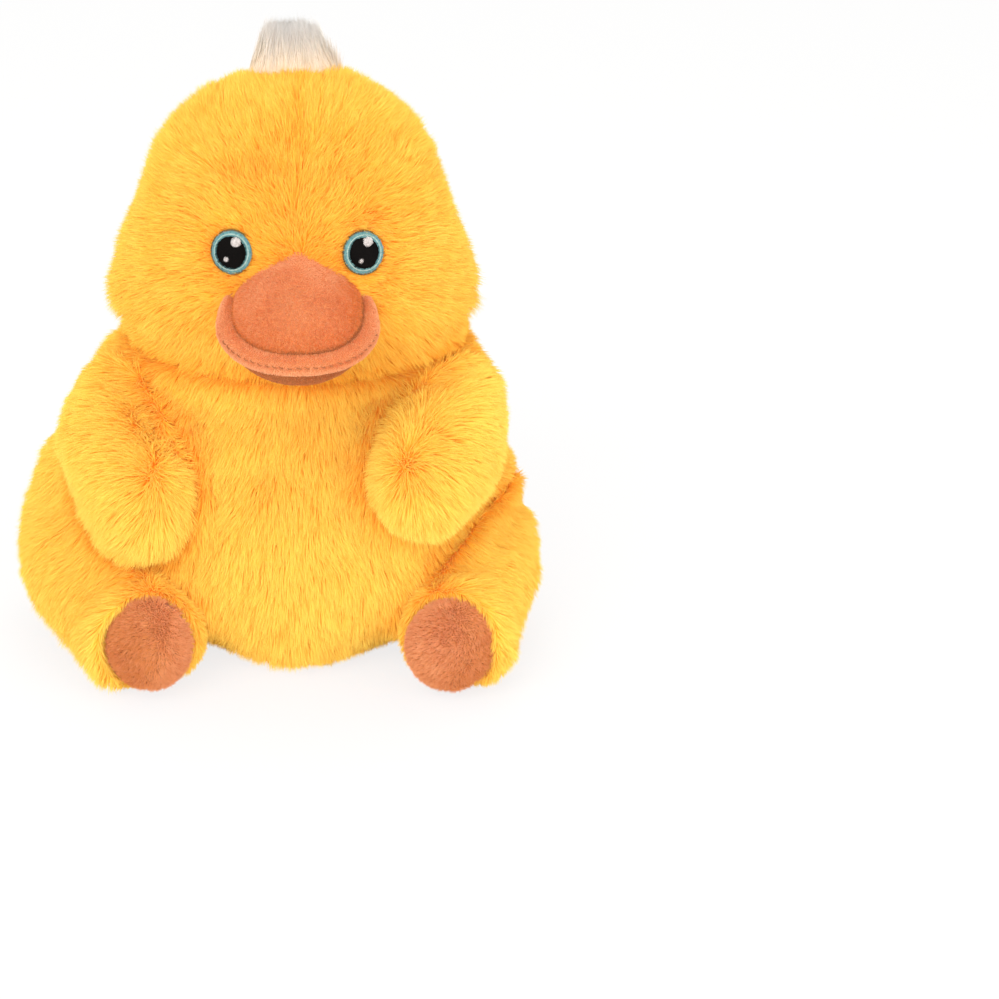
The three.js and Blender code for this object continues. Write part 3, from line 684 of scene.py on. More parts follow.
@dataclass
class Workshop:
    """What every maker needs: the two trees and the finishes."""

    pile: PileWork
    threads: ThreadWork
    plush: bpy.types.Material
    backing: bpy.types.Material
    tuft: bpy.types.Material
    velour: bpy.types.Material
    velour_ground: bpy.types.Material
    pad_velour: bpy.types.Material
    pad_ground: bpy.types.Material
    filling: bpy.types.Material
    pouch: bpy.types.Material
    ring_thread: bpy.types.Material
    ring_light: bpy.types.Material
    outline_thread: bpy.types.Material
    pupil_thread: bpy.types.Material
    glint_thread: bpy.types.Material
    seam_thread: bpy.types.Material


# ---------------------------------------------------------------- stuffed bodies


def merged_solid(names: Sequence[str], name: str) -> bpy.types.Object:
    """A merged copy of some CAD nodes as one object.

    Args:
        names: the nodes to copy.
        name: the new object's name.

    Returns:
        The object, with its doubles merged.
    """
    made = bmesh.new()
    for source in names:
        made.from_mesh(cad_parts[source].data)
    bmesh.ops.remove_doubles(made, verts=made.verts, dist=1e-6)
    mesh = bpy.data.meshes.new(name)
    made.to_mesh(mesh)
    made.free()
    return new_object(name, mesh)


def remeshed(obj: bpy.types.Object, name: str, voxel: float) -> bpy.types.Object:
    """Gives a solid an even skin of small quads, and keeps only its outside.

    Args:
        obj: the solid, which is used up.
        name: the new object's name.
        voxel: the quads' size.

    Returns:
        The new object.
    """
    modifier = obj.modifiers.new("remesh", "REMESH")
    modifier.mode = "VOXEL"
    modifier.voxel_size = voxel
    modifier.adaptivity = 0.0
    made = evaluated_copy(obj, name)
    shell = bmesh.new()
    shell.from_mesh(made.data)
    seen: set[int] = set()
    largest: list[bmesh.types.BMVert] = []
    shell.verts.ensure_lookup_table()
    for start in shell.verts:
        if start.index in seen:
            continue
        island, stack = [], [start]
        seen.add(start.index)
        while stack:
            vert = stack.pop()
            island.append(vert)
            for edge in vert.link_edges:
                other = edge.other_vert(vert)
                if other.index not in seen:
                    seen.add(other.index)
                    stack.append(other)
        if len(island) > len(largest):
            largest = island
    keep = set(largest)
    bmesh.ops.delete(shell, geom=[v for v in shell.verts if v not in keep], context="VERTS")
    shell.to_mesh(made.data)
    shell.free()
    return made


def relaxed(mesh: bpy.types.Mesh, times: int, share: float = 0.5) -> None:
    """Smooths a mesh by moving each vertex toward the middle of its neighbours.

    Args:
        mesh: the mesh to change.
        times: how often.
        share: how far each time.
    """
    spots = positions(mesh).astype(np.float64)
    edges = np.empty(len(mesh.edges) * 2, np.int32)
    mesh.edges.foreach_get("vertices", edges)
    edges = edges.reshape(-1, 2)
    count = np.zeros(len(spots))
    np.add.at(count, edges[:, 0], 1)
    np.add.at(count, edges[:, 1], 1)
    for _ in range(times):
        total = np.zeros_like(spots)
        np.add.at(total, edges[:, 0], spots[edges[:, 1]])
        np.add.at(total, edges[:, 1], spots[edges[:, 0]])
        spots += share * (total / count[:, None] - spots)
    move_to(mesh, spots)


def distances(spots: np.ndarray, tree: BVHTree) -> np.ndarray:
    """How far each point is from a surface."""
    found = (tree.find_nearest(Vector(spot))[3] for spot in spots)
    return np.array([1.0 if d is None else d for d in found])


def whorls(ways: np.ndarray, normals: np.ndarray) -> np.ndarray:
    """1 where a comb direction stands straight off or into the surface, which leaves a whorl, and 0 far away."""
    slant = np.abs(np.sum(ways * normals, axis=1)) / (np.linalg.norm(ways, axis=1) + TINY)
    return smoothstep(slant, 0.72, 0.97)


def laid_flat(ways: np.ndarray, normals: np.ndarray, least: float = 0.4) -> np.ndarray:
    """Lays directions along a surface, each of full length but for those near its poles.

    Args:
        ways: a direction for each point.
        normals: the surface's normals.
        least: the length, once flat, under which a direction starts to fade.

    Returns:
        The flat directions.
    """
    flat = ways - normals * np.sum(ways * normals, axis=1)[:, None]
    length = np.linalg.norm(flat, axis=1)
    return flat * (np.minimum(length / least, 1.0) / (length + TINY))[:, None]


@dataclass(frozen=True)
class Dent:
    """A place where the cloth lies deeper than its panel, or bulges past it when the depth is negative."""

    middle: tuple[float, float, float]  # in millimetres
    size: tuple[float, float, float]  # in millimetres
    depth: float  # in millimetres

    def at(self, spots: np.ndarray) -> np.ndarray:
        """Its depth at each point, in metres."""
        return self.depth * MM * mound(spots / MM, self.middle, self.size)


@dataclass
class StuffedBody:
    """One stuffed part of the toy: its backing cloth, its filling and its pile."""

    body: Body
    name: str
    skin: tuple[str, ...]
    inside: tuple[str, ...] = ()
    cut: PileCut = field(default_factory=PileCut)
    layers: int = 1
    shade_layers: int = 1  # thin pile lets light through, so only these layers throw shade
    voxel: float = 3.0
    inset: float = 6.0
    relax: int = 14
    seed: int = 1
    lighter: float = 0.0  # painted light and shade: how much paler the whole pile of this part is
    tangle: float = 1.7  # how much curlier the pile is where its comb directions meet in a whorl
    last_relax: int = 3
    sunk_over: tuple[float, float] = (1.5, 9.0)  # how far from a neighbour the backing comes down to its depth
    dent_over: tuple[float, float] = (1.0, 6.0)  # how far from a neighbour a dent comes down to its depth
    floor_over: tuple[float, float] = (1.0, 5.0)  # how far above the floor the flat seat ends
    seat_bare: float = 0.8  # how much of the pile the seat does without
    seam_cover: float = 0.35  # how thick the pile stands in a seam, of its thickness in the open
    cover_over: tuple[float, float] = (0.2, 1.4)  # how far from a neighbour it comes up to that thickness
    pressed: float = 0.25  # how long the pile is where two parts press on each other, of its full length
    freed: tuple[float, float] = (0.45, 0.3)  # how much longer it grows over the next two spans
    free_over: tuple[tuple[float, float], tuple[float, float]] = ((0.0, 1.5), (0.5, 12.0))
    low_length: float = 0.4  # how long the pile is at the floor, of its length elsewhere
    low_over: tuple[float, float] = (0.0, 12.0)
    seam_shade: tuple[float, float] = (0.35, 0.5)  # painted shade: how much deeper in colour the pile is in a seam
    shade_over: tuple[tuple[float, float], tuple[float, float]] = ((0.0, 14.0), (0.0, 5.0))
    fill_inset: float = 2.4
    fill_voxel: float = 4.0
    dents: tuple[Dent, ...] = ()

    def make(self, shop: Workshop) -> list[bpy.types.Object]:
        """Builds the backing, the filling and the pile.

        Args:
            shop: the trees and finishes.

        Returns:
            The pieces.
        """
        solid = merged_solid(self.skin + self.inside[:1], self.name)
        form = remeshed(solid, f"{self.name}_backing", self.voxel * MM)
        relaxed(form.data, self.relax)
        spots, normals = positions(form.data), vertex_normals(form.data)
        others = [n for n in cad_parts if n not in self.skin + self.inside and self.near(n)]
        gap = distances(spots, node_tree_of(others)) if others else np.ones(len(spots))
        pile = self.pile(spots, gap)
        sunk = rise(gap, self.sunk_over) * self.inset * MM * np.minimum(pile, 1.0) * self.sink(spots)
        moved = self.drawn_in(spots)
        sunk += np.where(moved > 0, moved * rise(gap, self.dent_over), moved)
        move_to(form.data, spots - normals * sunk[:, None])
        relaxed(form.data, self.last_relax)
        spots, normals = positions(form.data), vertex_normals(form.data)
        ways = self.comb(spots)
        fields = {
            "skin_normal": normals,
            "cover": self.cover(spots, normals, gap),
            "pile": pile,
            "comb": laid_flat(ways, normals),
            "wild": self.wild(spots) * (1 + self.tangle * whorls(ways, normals)),
            "pale": self.pale(spots, gap),
        }
        shade_smooth(form.data)
        made = []
        for layer in range(self.layers):
            piece = self.grow(bed_of(form, **fields), shop, layer)
            piece.visible_shadow = layer < self.shade_layers
            made.append(sewn_to(piece, self.body))
            log.info("%s: %d faces", piece.name, len(piece.data.polygons))
        finish_with(form.data, shop.backing)
        made.append(sewn_to(form, self.body, self.skin))
        return made + self.fill(shop)

    def near(self, node: str) -> bool:
        """Whether a node is a stuffed part that this one is sewn to."""
        return node.endswith(("_skin", "_skin_left", "_skin_right")) or node.startswith(("wing_skin", "leg_skin"))

    def grow(self, bed: bpy.types.Object, shop: Workshop, layer: int) -> bpy.types.Object:
        """Grows one layer of pile on the bed, which is used up.

        Args:
            bed: the shape with its fields.
            shop: the trees and finishes.
            layer: which layer it is, from 0.

        Returns:
            The pile.
        """
        cut = self.cut
        return shop.pile.run(
            bed,
            f"{self.name}_pile_{layer + 1}",
            Length=cut.length * MM,
            Width=cut.width * MM,
            Density=cut.per_mm2 / MM / MM / self.layers,
            Clump_Size=cut.clump * MM,
            Clump_Pull=cut.clump_pull,
            Wisp_Size=cut.wisp * MM,
            Wisp_Pull=cut.wisp_pull,
            Comb=cut.comb,
            Stray=cut.stray,
            Droop=cut.droop,
            Roundness=cut.roundness,
            Seed=self.seed * 100 + layer,
            Finish=self.pile_finish(shop),
        )

    def pile_finish(self, shop: Workshop) -> bpy.types.Material:
        """The finish of the pile."""
        return shop.plush

    def cover(self, spots: np.ndarray, normals: np.ndarray, gap: np.ndarray) -> np.ndarray:
        """How densely the pile stands at each point, as a share.

        Args:
            spots: the points.
            normals: the surface's normals there.
            gap: how far each point is from the other parts.

        Returns:
            A number for each point.
        """
        down = smoothstep(-normals[:, 2], 0.85, 0.98) * (1 - rise(spots[:, 2], self.floor_over))
        thick = self.seam_cover + (1 - self.seam_cover) * rise(gap, self.cover_over)
        return thick * (1 - self.seat_bare * down)

    def pile(self, spots: np.ndarray, gap: np.ndarray) -> np.ndarray:
        """How long the pile is at each point, as a share: short where two parts press on each other.

        Args:
            spots: the points.
            gap: how far each point is from the other parts.

        Returns:
            A number for each point.
        """
        share: Any = self.pressed
        for more, span in zip(self.freed, self.free_over):
            share = share + more * rise(gap, span)
        return share * (self.low_length + (1 - self.low_length) * rise(spots[:, 2], self.low_over))

    def sink(self, spots: np.ndarray) -> np.ndarray:
        """How much of the pile's depth the backing lies under its panel at each point."""
        return np.ones(len(spots))

    def comb(self, spots: np.ndarray) -> np.ndarray:
        """Which way the pile is brushed at each point."""
        return np.tile(np.array([0.0, 0.0, -1.0]), (len(spots), 1))

    def drawn_in(self, spots: np.ndarray) -> np.ndarray:
        """How much deeper the backing lies at each point, in metres."""
        return np.sum([dent.at(spots) for dent in self.dents], axis=0) if self.dents else np.zeros(len(spots))

    def wild(self, spots: np.ndarray) -> np.ndarray:
        """How curly the pile is at each point, as a share."""
        return np.ones(len(spots))

    def pale(self, spots: np.ndarray, gap: np.ndarray) -> np.ndarray:
        """How much paler the pile is at each point: deeper in the seams as painted shade.

        Args:
            spots: not used.
            gap: how far each point is from the other parts.

        Returns:
            A number for each point.
        """
        share: Any = self.lighter
        for deeper, span in zip(self.seam_shade, self.shade_over):
            share = share - deeper * (1 - rise(gap, span))
        return share

    def fill(self, shop: Workshop) -> list[bpy.types.Object]:
        """Makes the stuffing and what lies in it.

        Args:
            shop: the trees and finishes.

        Returns:
            The pieces.
        """
        made = []
        for node in self.inside:
            pouch = node == "pellet_pouch"
            name = "pellet_pouch_cloth" if pouch else f"{node}_fibre"
            piece = remeshed(merged_solid([node], name), name, self.fill_voxel * MM)
            relaxed(piece.data, 4)
            sunk_in(piece.data, self.fill_inset)
            shade_smooth(piece.data)
            finish_with(piece.data, shop.pouch if pouch else shop.filling)
            made.append(sewn_to(piece, self.body, (node,)))
        return made


@dataclass
class Torso(StuffedBody):
    """The pear-shaped body."""

    pucker: tuple[float, float, float] = (-7.0, -74.0, 28.0)
    pucker_size: float = 4.0
    # painted shade: how much deeper the pile is in the pucker
    pucker_shade: float = 0.7
    fan: float = 0.55  # how far outwards the pile is brushed on the flanks
    flank: float = 0.09

    def comb(self, spots: np.ndarray) -> np.ndarray:
        """Down the belly, and out and down over the flanks.

        Args:
            spots: the points.

        Returns:
            A direction for each point.
        """
        way = np.zeros_like(spots)
        way[:, 0] = np.clip(spots[:, 0] / self.flank, -1, 1) * self.fan
        way[:, 2] = -1.0
        return way

    def pale(self, spots: np.ndarray, gap: np.ndarray) -> np.ndarray:
        """Painted shade: warmer and deeper in the pucker low on the belly."""
        away = np.linalg.norm(spots - np.array(self.pucker) * MM, axis=1)
        return super().pale(spots, gap) - self.pucker_shade * bell(away, self.pucker_size * MM)


@dataclass
class Head(StuffedBody):
    """The round head, brushed away from the face."""

    face: tuple[float, float, float] = (0.0, -62.0, 182.0)
    eye_radius: float = 9.4
    cheek_top: float = 185.0  # under this height the pile is brushed down as well as out
    cheek_over: tuple[float, float] = (0.0, 40.0)
    cheek_down: float = 0.5
    back_over: tuple[float, float] = (-20.0, 45.0)  # over this depth the comb turns from the face to the back
    down_back: tuple[float, float, float] = (0.0, 0.3, -1.0)
    eye_bare: tuple[float, float] = (-0.9, 0.8)  # how far past the eye's edge the pile starts and stands thick
    bill_bare: tuple[float, float] = (0.5, 2.0)
    face_over: tuple[float, float] = (3.0, 22.0)  # how far from the eyes and the bill the pile is short
    face_pile: float = 0.5  # how long it is there, of its length elsewhere
    jowl: tuple[float, float] = (164.0, 12.0)  # the height of the tufts of long pile over the cheeks, and their reach
    jowl_over: tuple[float, float] = (66.0, 82.0)  # how far to the sides they stand
    jowl_more: float = 0.5  # how much longer they are
    brow: tuple[float, float, float] = (0.036, 0.060, 0.028)  # how far the curly brow reaches, in metres
    curls: tuple[float, float] = (1.15, 1.3)  # how curly the head is, and how much more so its brow
    # painted shade: how much deeper the pile is between the eyes
    brow_shade: float = 0.3
    parting: float = 2.2  # the half width of the parting up the brow
    parting_over: tuple[float, float] = (222.0, 240.0)
    # painted shade: how much deeper the pile is in the parting
    parting_shade: float = 0.35

    def comb(self, spots: np.ndarray) -> np.ndarray:
        """Away from the middle of the face, down over the cheeks and down the back.

        Args:
            spots: the points.

        Returns:
            A direction for each point.
        """
        way = spots - np.array(self.face) * MM
        way /= np.linalg.norm(way, axis=1)[:, None] + TINY
        way[:, 2] -= self.cheek_down * rise(-(spots[:, 2] - self.cheek_top * MM), self.cheek_over)
        back = rise(spots[:, 1], self.back_over)[:, None]
        return way * (1 - back) + np.array(self.down_back) * back

    def cover(self, spots: np.ndarray, normals: np.ndarray, gap: np.ndarray) -> np.ndarray:
        """Bare under the bill and the eyes.

        Args:
            spots: the points.
            normals: the surface's normals there.
            gap: how far each point is from the other parts.

        Returns:
            A number for each point.
        """
        share = super().cover(spots, normals, gap)
        for side in ("left", "right"):
            low, high = (Vector(v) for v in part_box(f"iris_{side}"))
            middle = np.array((low + high) / 2)
            away = np.linalg.norm(spots - middle, axis=1)
            share *= rise(away, (self.eye_radius + self.eye_bare[0], self.eye_radius + self.eye_bare[1]))
        bill = node_tree_of(["bill_upper", "bill_rim", "bill_lower"])
        return share * rise(distances(spots, bill), self.bill_bare)

    def pile(self, spots: np.ndarray, gap: np.ndarray) -> np.ndarray:
        """Shorter round the eyes and the bill.

        Args:
            spots: the points.
            gap: how far each point is from the other parts.

        Returns:
            A number for each point.
        """
        share = super().pile(spots, gap)
        near = node_tree_of(["iris_left", "iris_right", "bill_upper", "bill_rim"])
        share *= self.face_pile + (1 - self.face_pile) * rise(distances(spots, near), self.face_over)
        height, reach = self.jowl
        cheek = bell(spots[:, 2] - height * MM, reach * MM) * rise(np.abs(spots[:, 0]), self.jowl_over)
        return share * (1 + self.jowl_more * cheek)

    def between(self, spots: np.ndarray) -> np.ndarray:
        """1 at the middle of the brow, falling to 0 round it."""
        return mound(spots, np.array(self.face) * MM, self.brow)

    def wild(self, spots: np.ndarray) -> np.ndarray:
        """Curlier on the brow."""
        return self.curls[0] + self.curls[1] * self.between(spots)

    def pale(self, spots: np.ndarray, gap: np.ndarray) -> np.ndarray:
        """Painted shade, warmer and deeper, between the eyes and in the parting that runs up the brow to the tuft."""
        parting = bell(spots[:, 0], self.parting * MM) * rise(spots[:, 2], self.parting_over)
        return super().pale(spots, gap) - self.brow_shade * self.between(spots) - self.parting_shade * parting


@dataclass
class Limb(StuffedBody):
    """A wing, a leg or the tail, brushed one way so that no whorl shows."""

    flow: tuple[float, float, float] = (0.0, 0.0, -1.0)
    pad: str = ""
    pad_squeeze: float = 1.0
    pad_shift: tuple[float, float, float] = (0.0, 0.0, 0.0)
    pad_reach: float = 6.0  # how far behind the pad its hold on the pile ends
    pad_edge: tuple[float, float] = (0.76, 0.86)  # the pile is bare inside, of the pad's radius
    pad_short: tuple[float, float] = (1.0, 1.5)  # the pile is short inside
    pad_pile: float = 0.5  # how long it is there, of its length elsewhere
    pad_level: tuple[float, float] = (1.0, 1.6)  # the backing lies high inside
    pad_sink: float = 0.25  # how deep it lies there, of its depth elsewhere

    def comb(self, spots: np.ndarray) -> np.ndarray:
        """One way all over."""
        return np.tile(np.array(self.flow), (len(spots), 1))

    def from_pad(self, spots: np.ndarray) -> np.ndarray:
        """How far each point is from the pad's axis, of the pad's radius, or far away.

        Args:
            spots: the points.

        Returns:
            A number for each point.
        """
        if not self.pad:
            return np.full(len(spots), FAR)
        low, high = box_of(self.pad)
        middle = (low + high) / 2 + np.array(self.pad_shift) * MM
        off = (spots - middle) / (high - low) * 2
        return np.hypot(off[:, 0] / self.pad_squeeze, off[:, 2]) + FAR * (spots[:, 1] > high[1] + self.pad_reach * MM)

    def cover(self, spots: np.ndarray, normals: np.ndarray, gap: np.ndarray) -> np.ndarray:
        """Bare under the foot's pad."""
        return super().cover(spots, normals, gap) * smoothstep(self.from_pad(spots), *self.pad_edge)

    def pile(self, spots: np.ndarray, gap: np.ndarray) -> np.ndarray:
        """Shorter round the foot's pad."""
        far = smoothstep(self.from_pad(spots), *self.pad_short)
        return super().pile(spots, gap) * (self.pad_pile + (1 - self.pad_pile) * far)

    def sink(self, spots: np.ndarray) -> np.ndarray:
        """The backing comes up to the foot's pad, so that the pile round it hides its edge."""
        return self.pad_sink + (1 - self.pad_sink) * smoothstep(self.from_pad(spots), *self.pad_level)


@dataclass
class CrownTuft(StuffedBody):
    """The off-white tuft on the crown: a low mound whose long pile leans together to a flat top."""

    mound: float = 0.5  # the mound's height, of the tuft's
    lean: float = 0.72  # how far the outer fibres lean in, of their distance from the middle
    top_trim: float = 1.0  # how far under the tuft's highest point the fibres end, in millimetres
    curl: float = 0.18
    root_voxel: float = 1.5
    root_size: tuple[float, float, float] = (0.95, 0.85, 1.0)  # the mound's size, of the tuft's
    aside: float = 1.5  # how far the mound lies to the toy's right
    sunk: float = 4.0  # how far it is sunk into the head
    swept: float = 0.12  # how far the whole tuft leans to the toy's right
    lock_from: tuple[float, float] = (0.74, 0.84)  # where the short loose lock at its left end starts
    lock_out: float = 0.75  # how far the lock leans out
    lock_short: float = 0.55  # how much shorter it is
    side_over: tuple[float, float] = (-0.2, 0.3)  # how steep the mound is where its pile starts and stands thick

    def make(self, shop: Workshop) -> list[bpy.types.Object]:
        """Builds the mound and its long pile.

        Args:
            shop: the trees and finishes.

        Returns:
            The pieces.
        """
        form = remeshed(merged_solid(self.skin, self.name), f"{self.name}_root", self.root_voxel * MM)
        relaxed(form.data, 6)
        spots = positions(form.data)
        low, high = box_of(self.skin[0])
        middle = (low + high) / 2
        spots = middle + (spots - middle) * np.array(self.root_size) - np.array([self.aside * MM, 0, 0])
        spots[:, 2] = low[2] + (spots[:, 2] - low[2]) * self.mound - self.sunk * MM
        move_to(form.data, spots)
        normals = vertex_normals(form.data)
        off = (spots - middle) / (high - low) * 2
        inward = (-self.lean * off[:, 0] - self.swept, -self.lean * off[:, 1] * 0.5)
        way = np.stack([*inward, np.ones(len(spots))], axis=1)
        lock = smoothstep(off[:, 0], *self.lock_from)
        way[:, 0] += self.lock_out * lock
        way /= np.linalg.norm(way, axis=1)[:, None]
        need = (high[2] - self.top_trim * MM - spots[:, 2]) / way[:, 2]
        need *= 1 - self.lock_short * lock
        finish_with(form.data, shop.tuft)
        bed = bed_of(
            form,
            skin_normal=way,
            cover=smoothstep(normals[:, 2], *self.side_over),
            pile=need / (self.cut.length * MM),
            comb=np.zeros_like(spots),
            wild=np.full(len(spots), self.curl),
            pale=np.zeros(len(spots)),
        )
        piece = sewn_to(self.grow(bed, shop, 0), self.body)
        return [piece, sewn_to(form, self.body, self.skin)]

    def pile_finish(self, shop: Workshop) -> bpy.types.Material:
        """The off-white pile."""
        return shop.tuft


# ---------------------------------------------------------------- velour: bill and pads


@dataclass
class VelourPiece(StuffedBody):
    """A piece sewn of short velour, padded over its filling."""

    voxel: float = 1.2
    relax: int = 6
    inset: float = 0.6
    brushed: tuple[float, float, float] = (0.0, 0.0, -1.0)
    edge_bare: tuple[float, float] = (0.1, 0.6)  # how far from the other parts the nap starts and stands thick

    def make(self, shop: Workshop) -> list[bpy.types.Object]:
        """Builds the velour's ground and its short pile.

        Args:
            shop: the trees and finishes.

        Returns:
            The pieces.
        """
        form = self.form()
        shade_smooth(form.data)
        spots, normals = positions(form.data), vertex_normals(form.data)
        comb = self.comb(spots)
        comb -= normals * np.sum(comb * normals, axis=1)[:, None]
        full = np.ones(len(spots))
        bed = bed_of(
            form,
            skin_normal=normals,
            cover=self.shown(spots),
            pile=full,
            comb=comb,
            wild=self.wild(spots),
            pale=self.pale(spots, full),
        )
        piece = sewn_to(self.grow(bed, shop, 0), self.body)
        finish_with(form.data, self.ground_finish(shop))
        return [piece, sewn_to(form, self.body, self.skin), *self.fill(shop)]

    def form(self) -> bpy.types.Object:
        """The padded shape under the nap.

        Returns:
            The object.
        """
        made = remeshed(merged_solid(self.skin, self.name), f"{self.name}_ground", self.voxel * MM)
        relaxed(made.data, self.relax)
        sunk_in(made.data, self.inset)
        return made

    def comb(self, spots: np.ndarray) -> np.ndarray:
        """One way all over."""
        return np.tile(np.array(self.brushed), (len(spots), 1)).astype(np.float64)

    def pale(self, spots: np.ndarray, gap: np.ndarray) -> np.ndarray:
        """No paler anywhere."""
        return np.zeros(len(spots))

    def shown(self, spots: np.ndarray) -> np.ndarray:
        """Pile stands only where the cloth's face shows.

        Args:
            spots: the points.

        Returns:
            A number for each point.
        """
        shells = [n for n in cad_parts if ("skin" in n or "bill" in n) and "filling" not in n]
        others = [n for n in shells if n not in self.skin]
        return rise(distances(spots, node_tree_of(others)), self.edge_bare)

    def pile_finish(self, shop: Workshop) -> bpy.types.Material:
        """The short orange pile."""
        return shop.velour

    def ground_finish(self, shop: Workshop) -> bpy.types.Material:
        """The knitted ground under the pile."""
        return shop.velour_ground


@dataclass
class FootPad(VelourPiece):
    """A round velour pad whose pile parts along a line."""

    turned: float = 1.0  # the side of the parting that gets the painted light; the other side gets painted shade
    squeeze: float = 1.0  # the pad's width, of its panel's
    shift: tuple[float, float, float] = (0.0, 0.0, 0.0)
    face_over: tuple[float, float] = (-0.2, 0.6)  # where its dome starts, from its back to its face
    drawn: float = 1.4  # how far its edge is drawn in, in millimetres
    full: tuple[float, float] = (3.4, 2.0)  # how far it swells at its edge, and falls flat in its middle
    parted: float = 0.10  # how far from its middle the parting lies, of its width
    sway: float = 0.10  # how far the parting sways
    ruffle: float = 1.8  # how much curlier the pile is along it
    ruffle_wide: float = 0.22
    bare: float = 0.5  # how much thinner the pile is along it
    bare_wide: float = 0.09

    def form(self) -> bpy.types.Object:
        """The domed pad, drawn in to its seam.

        Returns:
            The object.
        """
        made = super().form()
        low, high = box_of(self.skin[0])
        middle = (low + high) / 2
        spots = positions(made.data)
        off = (spots - middle) / (high - low) * 2
        spots[:, 0] = middle[0] + (spots[:, 0] - middle[0]) * self.squeeze
        round_off = 1 - np.clip(off[:, 0] ** 2 + off[:, 2] ** 2, 0, 1)
        face = smoothstep(-off[:, 1], *self.face_over)
        spots[:, 1] += face * (self.drawn - self.full[0] * np.sqrt(round_off) + self.full[1] * round_off) * MM
        spots += np.array(self.shift) * MM
        move_to(made.data, spots)
        return made

    def parting(self, spots: np.ndarray) -> np.ndarray:
        """How far each point is from the pad's parting, of the pad's width.

        Args:
            spots: the points.

        Returns:
            A number for each point.
        """
        low, high = box_of(self.skin[0])
        off = (spots - (low + high) / 2) / (high - low + TINY)
        return off[:, 0] - self.sway * np.sin(off[:, 2] * 5.0 + 1.0) - self.parted

    def comb(self, spots: np.ndarray) -> np.ndarray:
        """Away from a curved line near the pad's middle.

        Args:
            spots: the points.

        Returns:
            A direction for each point.
        """
        comb = np.zeros((len(spots), 3))
        comb[:, 0] = np.tanh(self.parting(spots) * 9)
        comb[:, 2] = -0.35
        return comb

    def wild(self, spots: np.ndarray) -> np.ndarray:
        """Ruffled along the parting."""
        return 1 + self.ruffle * bell(self.parting(spots), self.ruffle_wide)

    def pale(self, spots: np.ndarray, gap: np.ndarray) -> np.ndarray:
        """Painted light on the side of the parting brushed with the light and painted shade on the other, and painted
        light towards the top.

        Args:
            spots: the points.
            gap: not used.

        Returns:
            A number for each point.
        """
        low, high = box_of(self.skin[0])
        height = (spots[:, 2] - low[2]) / (high[2] - low[2])
        part = self.parting(spots)
        # painted light and shade: paler on one side of the parting and towards the top, deeper on the other side and
        # lower down
        return self.turned * 0.3 * np.tanh(part * 5) + 0.2 * (height - 0.5) - 0.15

    def shown(self, spots: np.ndarray) -> np.ndarray:
        """Thinner along the parting."""
        return super().shown(spots) * (1 - self.bare * bell(self.parting(spots), self.bare_wide))

    def pile_finish(self, shop: Workshop) -> bpy.types.Material:
        """The pads' pile, which is brushed two ways."""
        return shop.pad_velour

    def ground_finish(self, shop: Workshop) -> bpy.types.Material:
        """The pads' knitted ground."""
        return shop.pad_ground


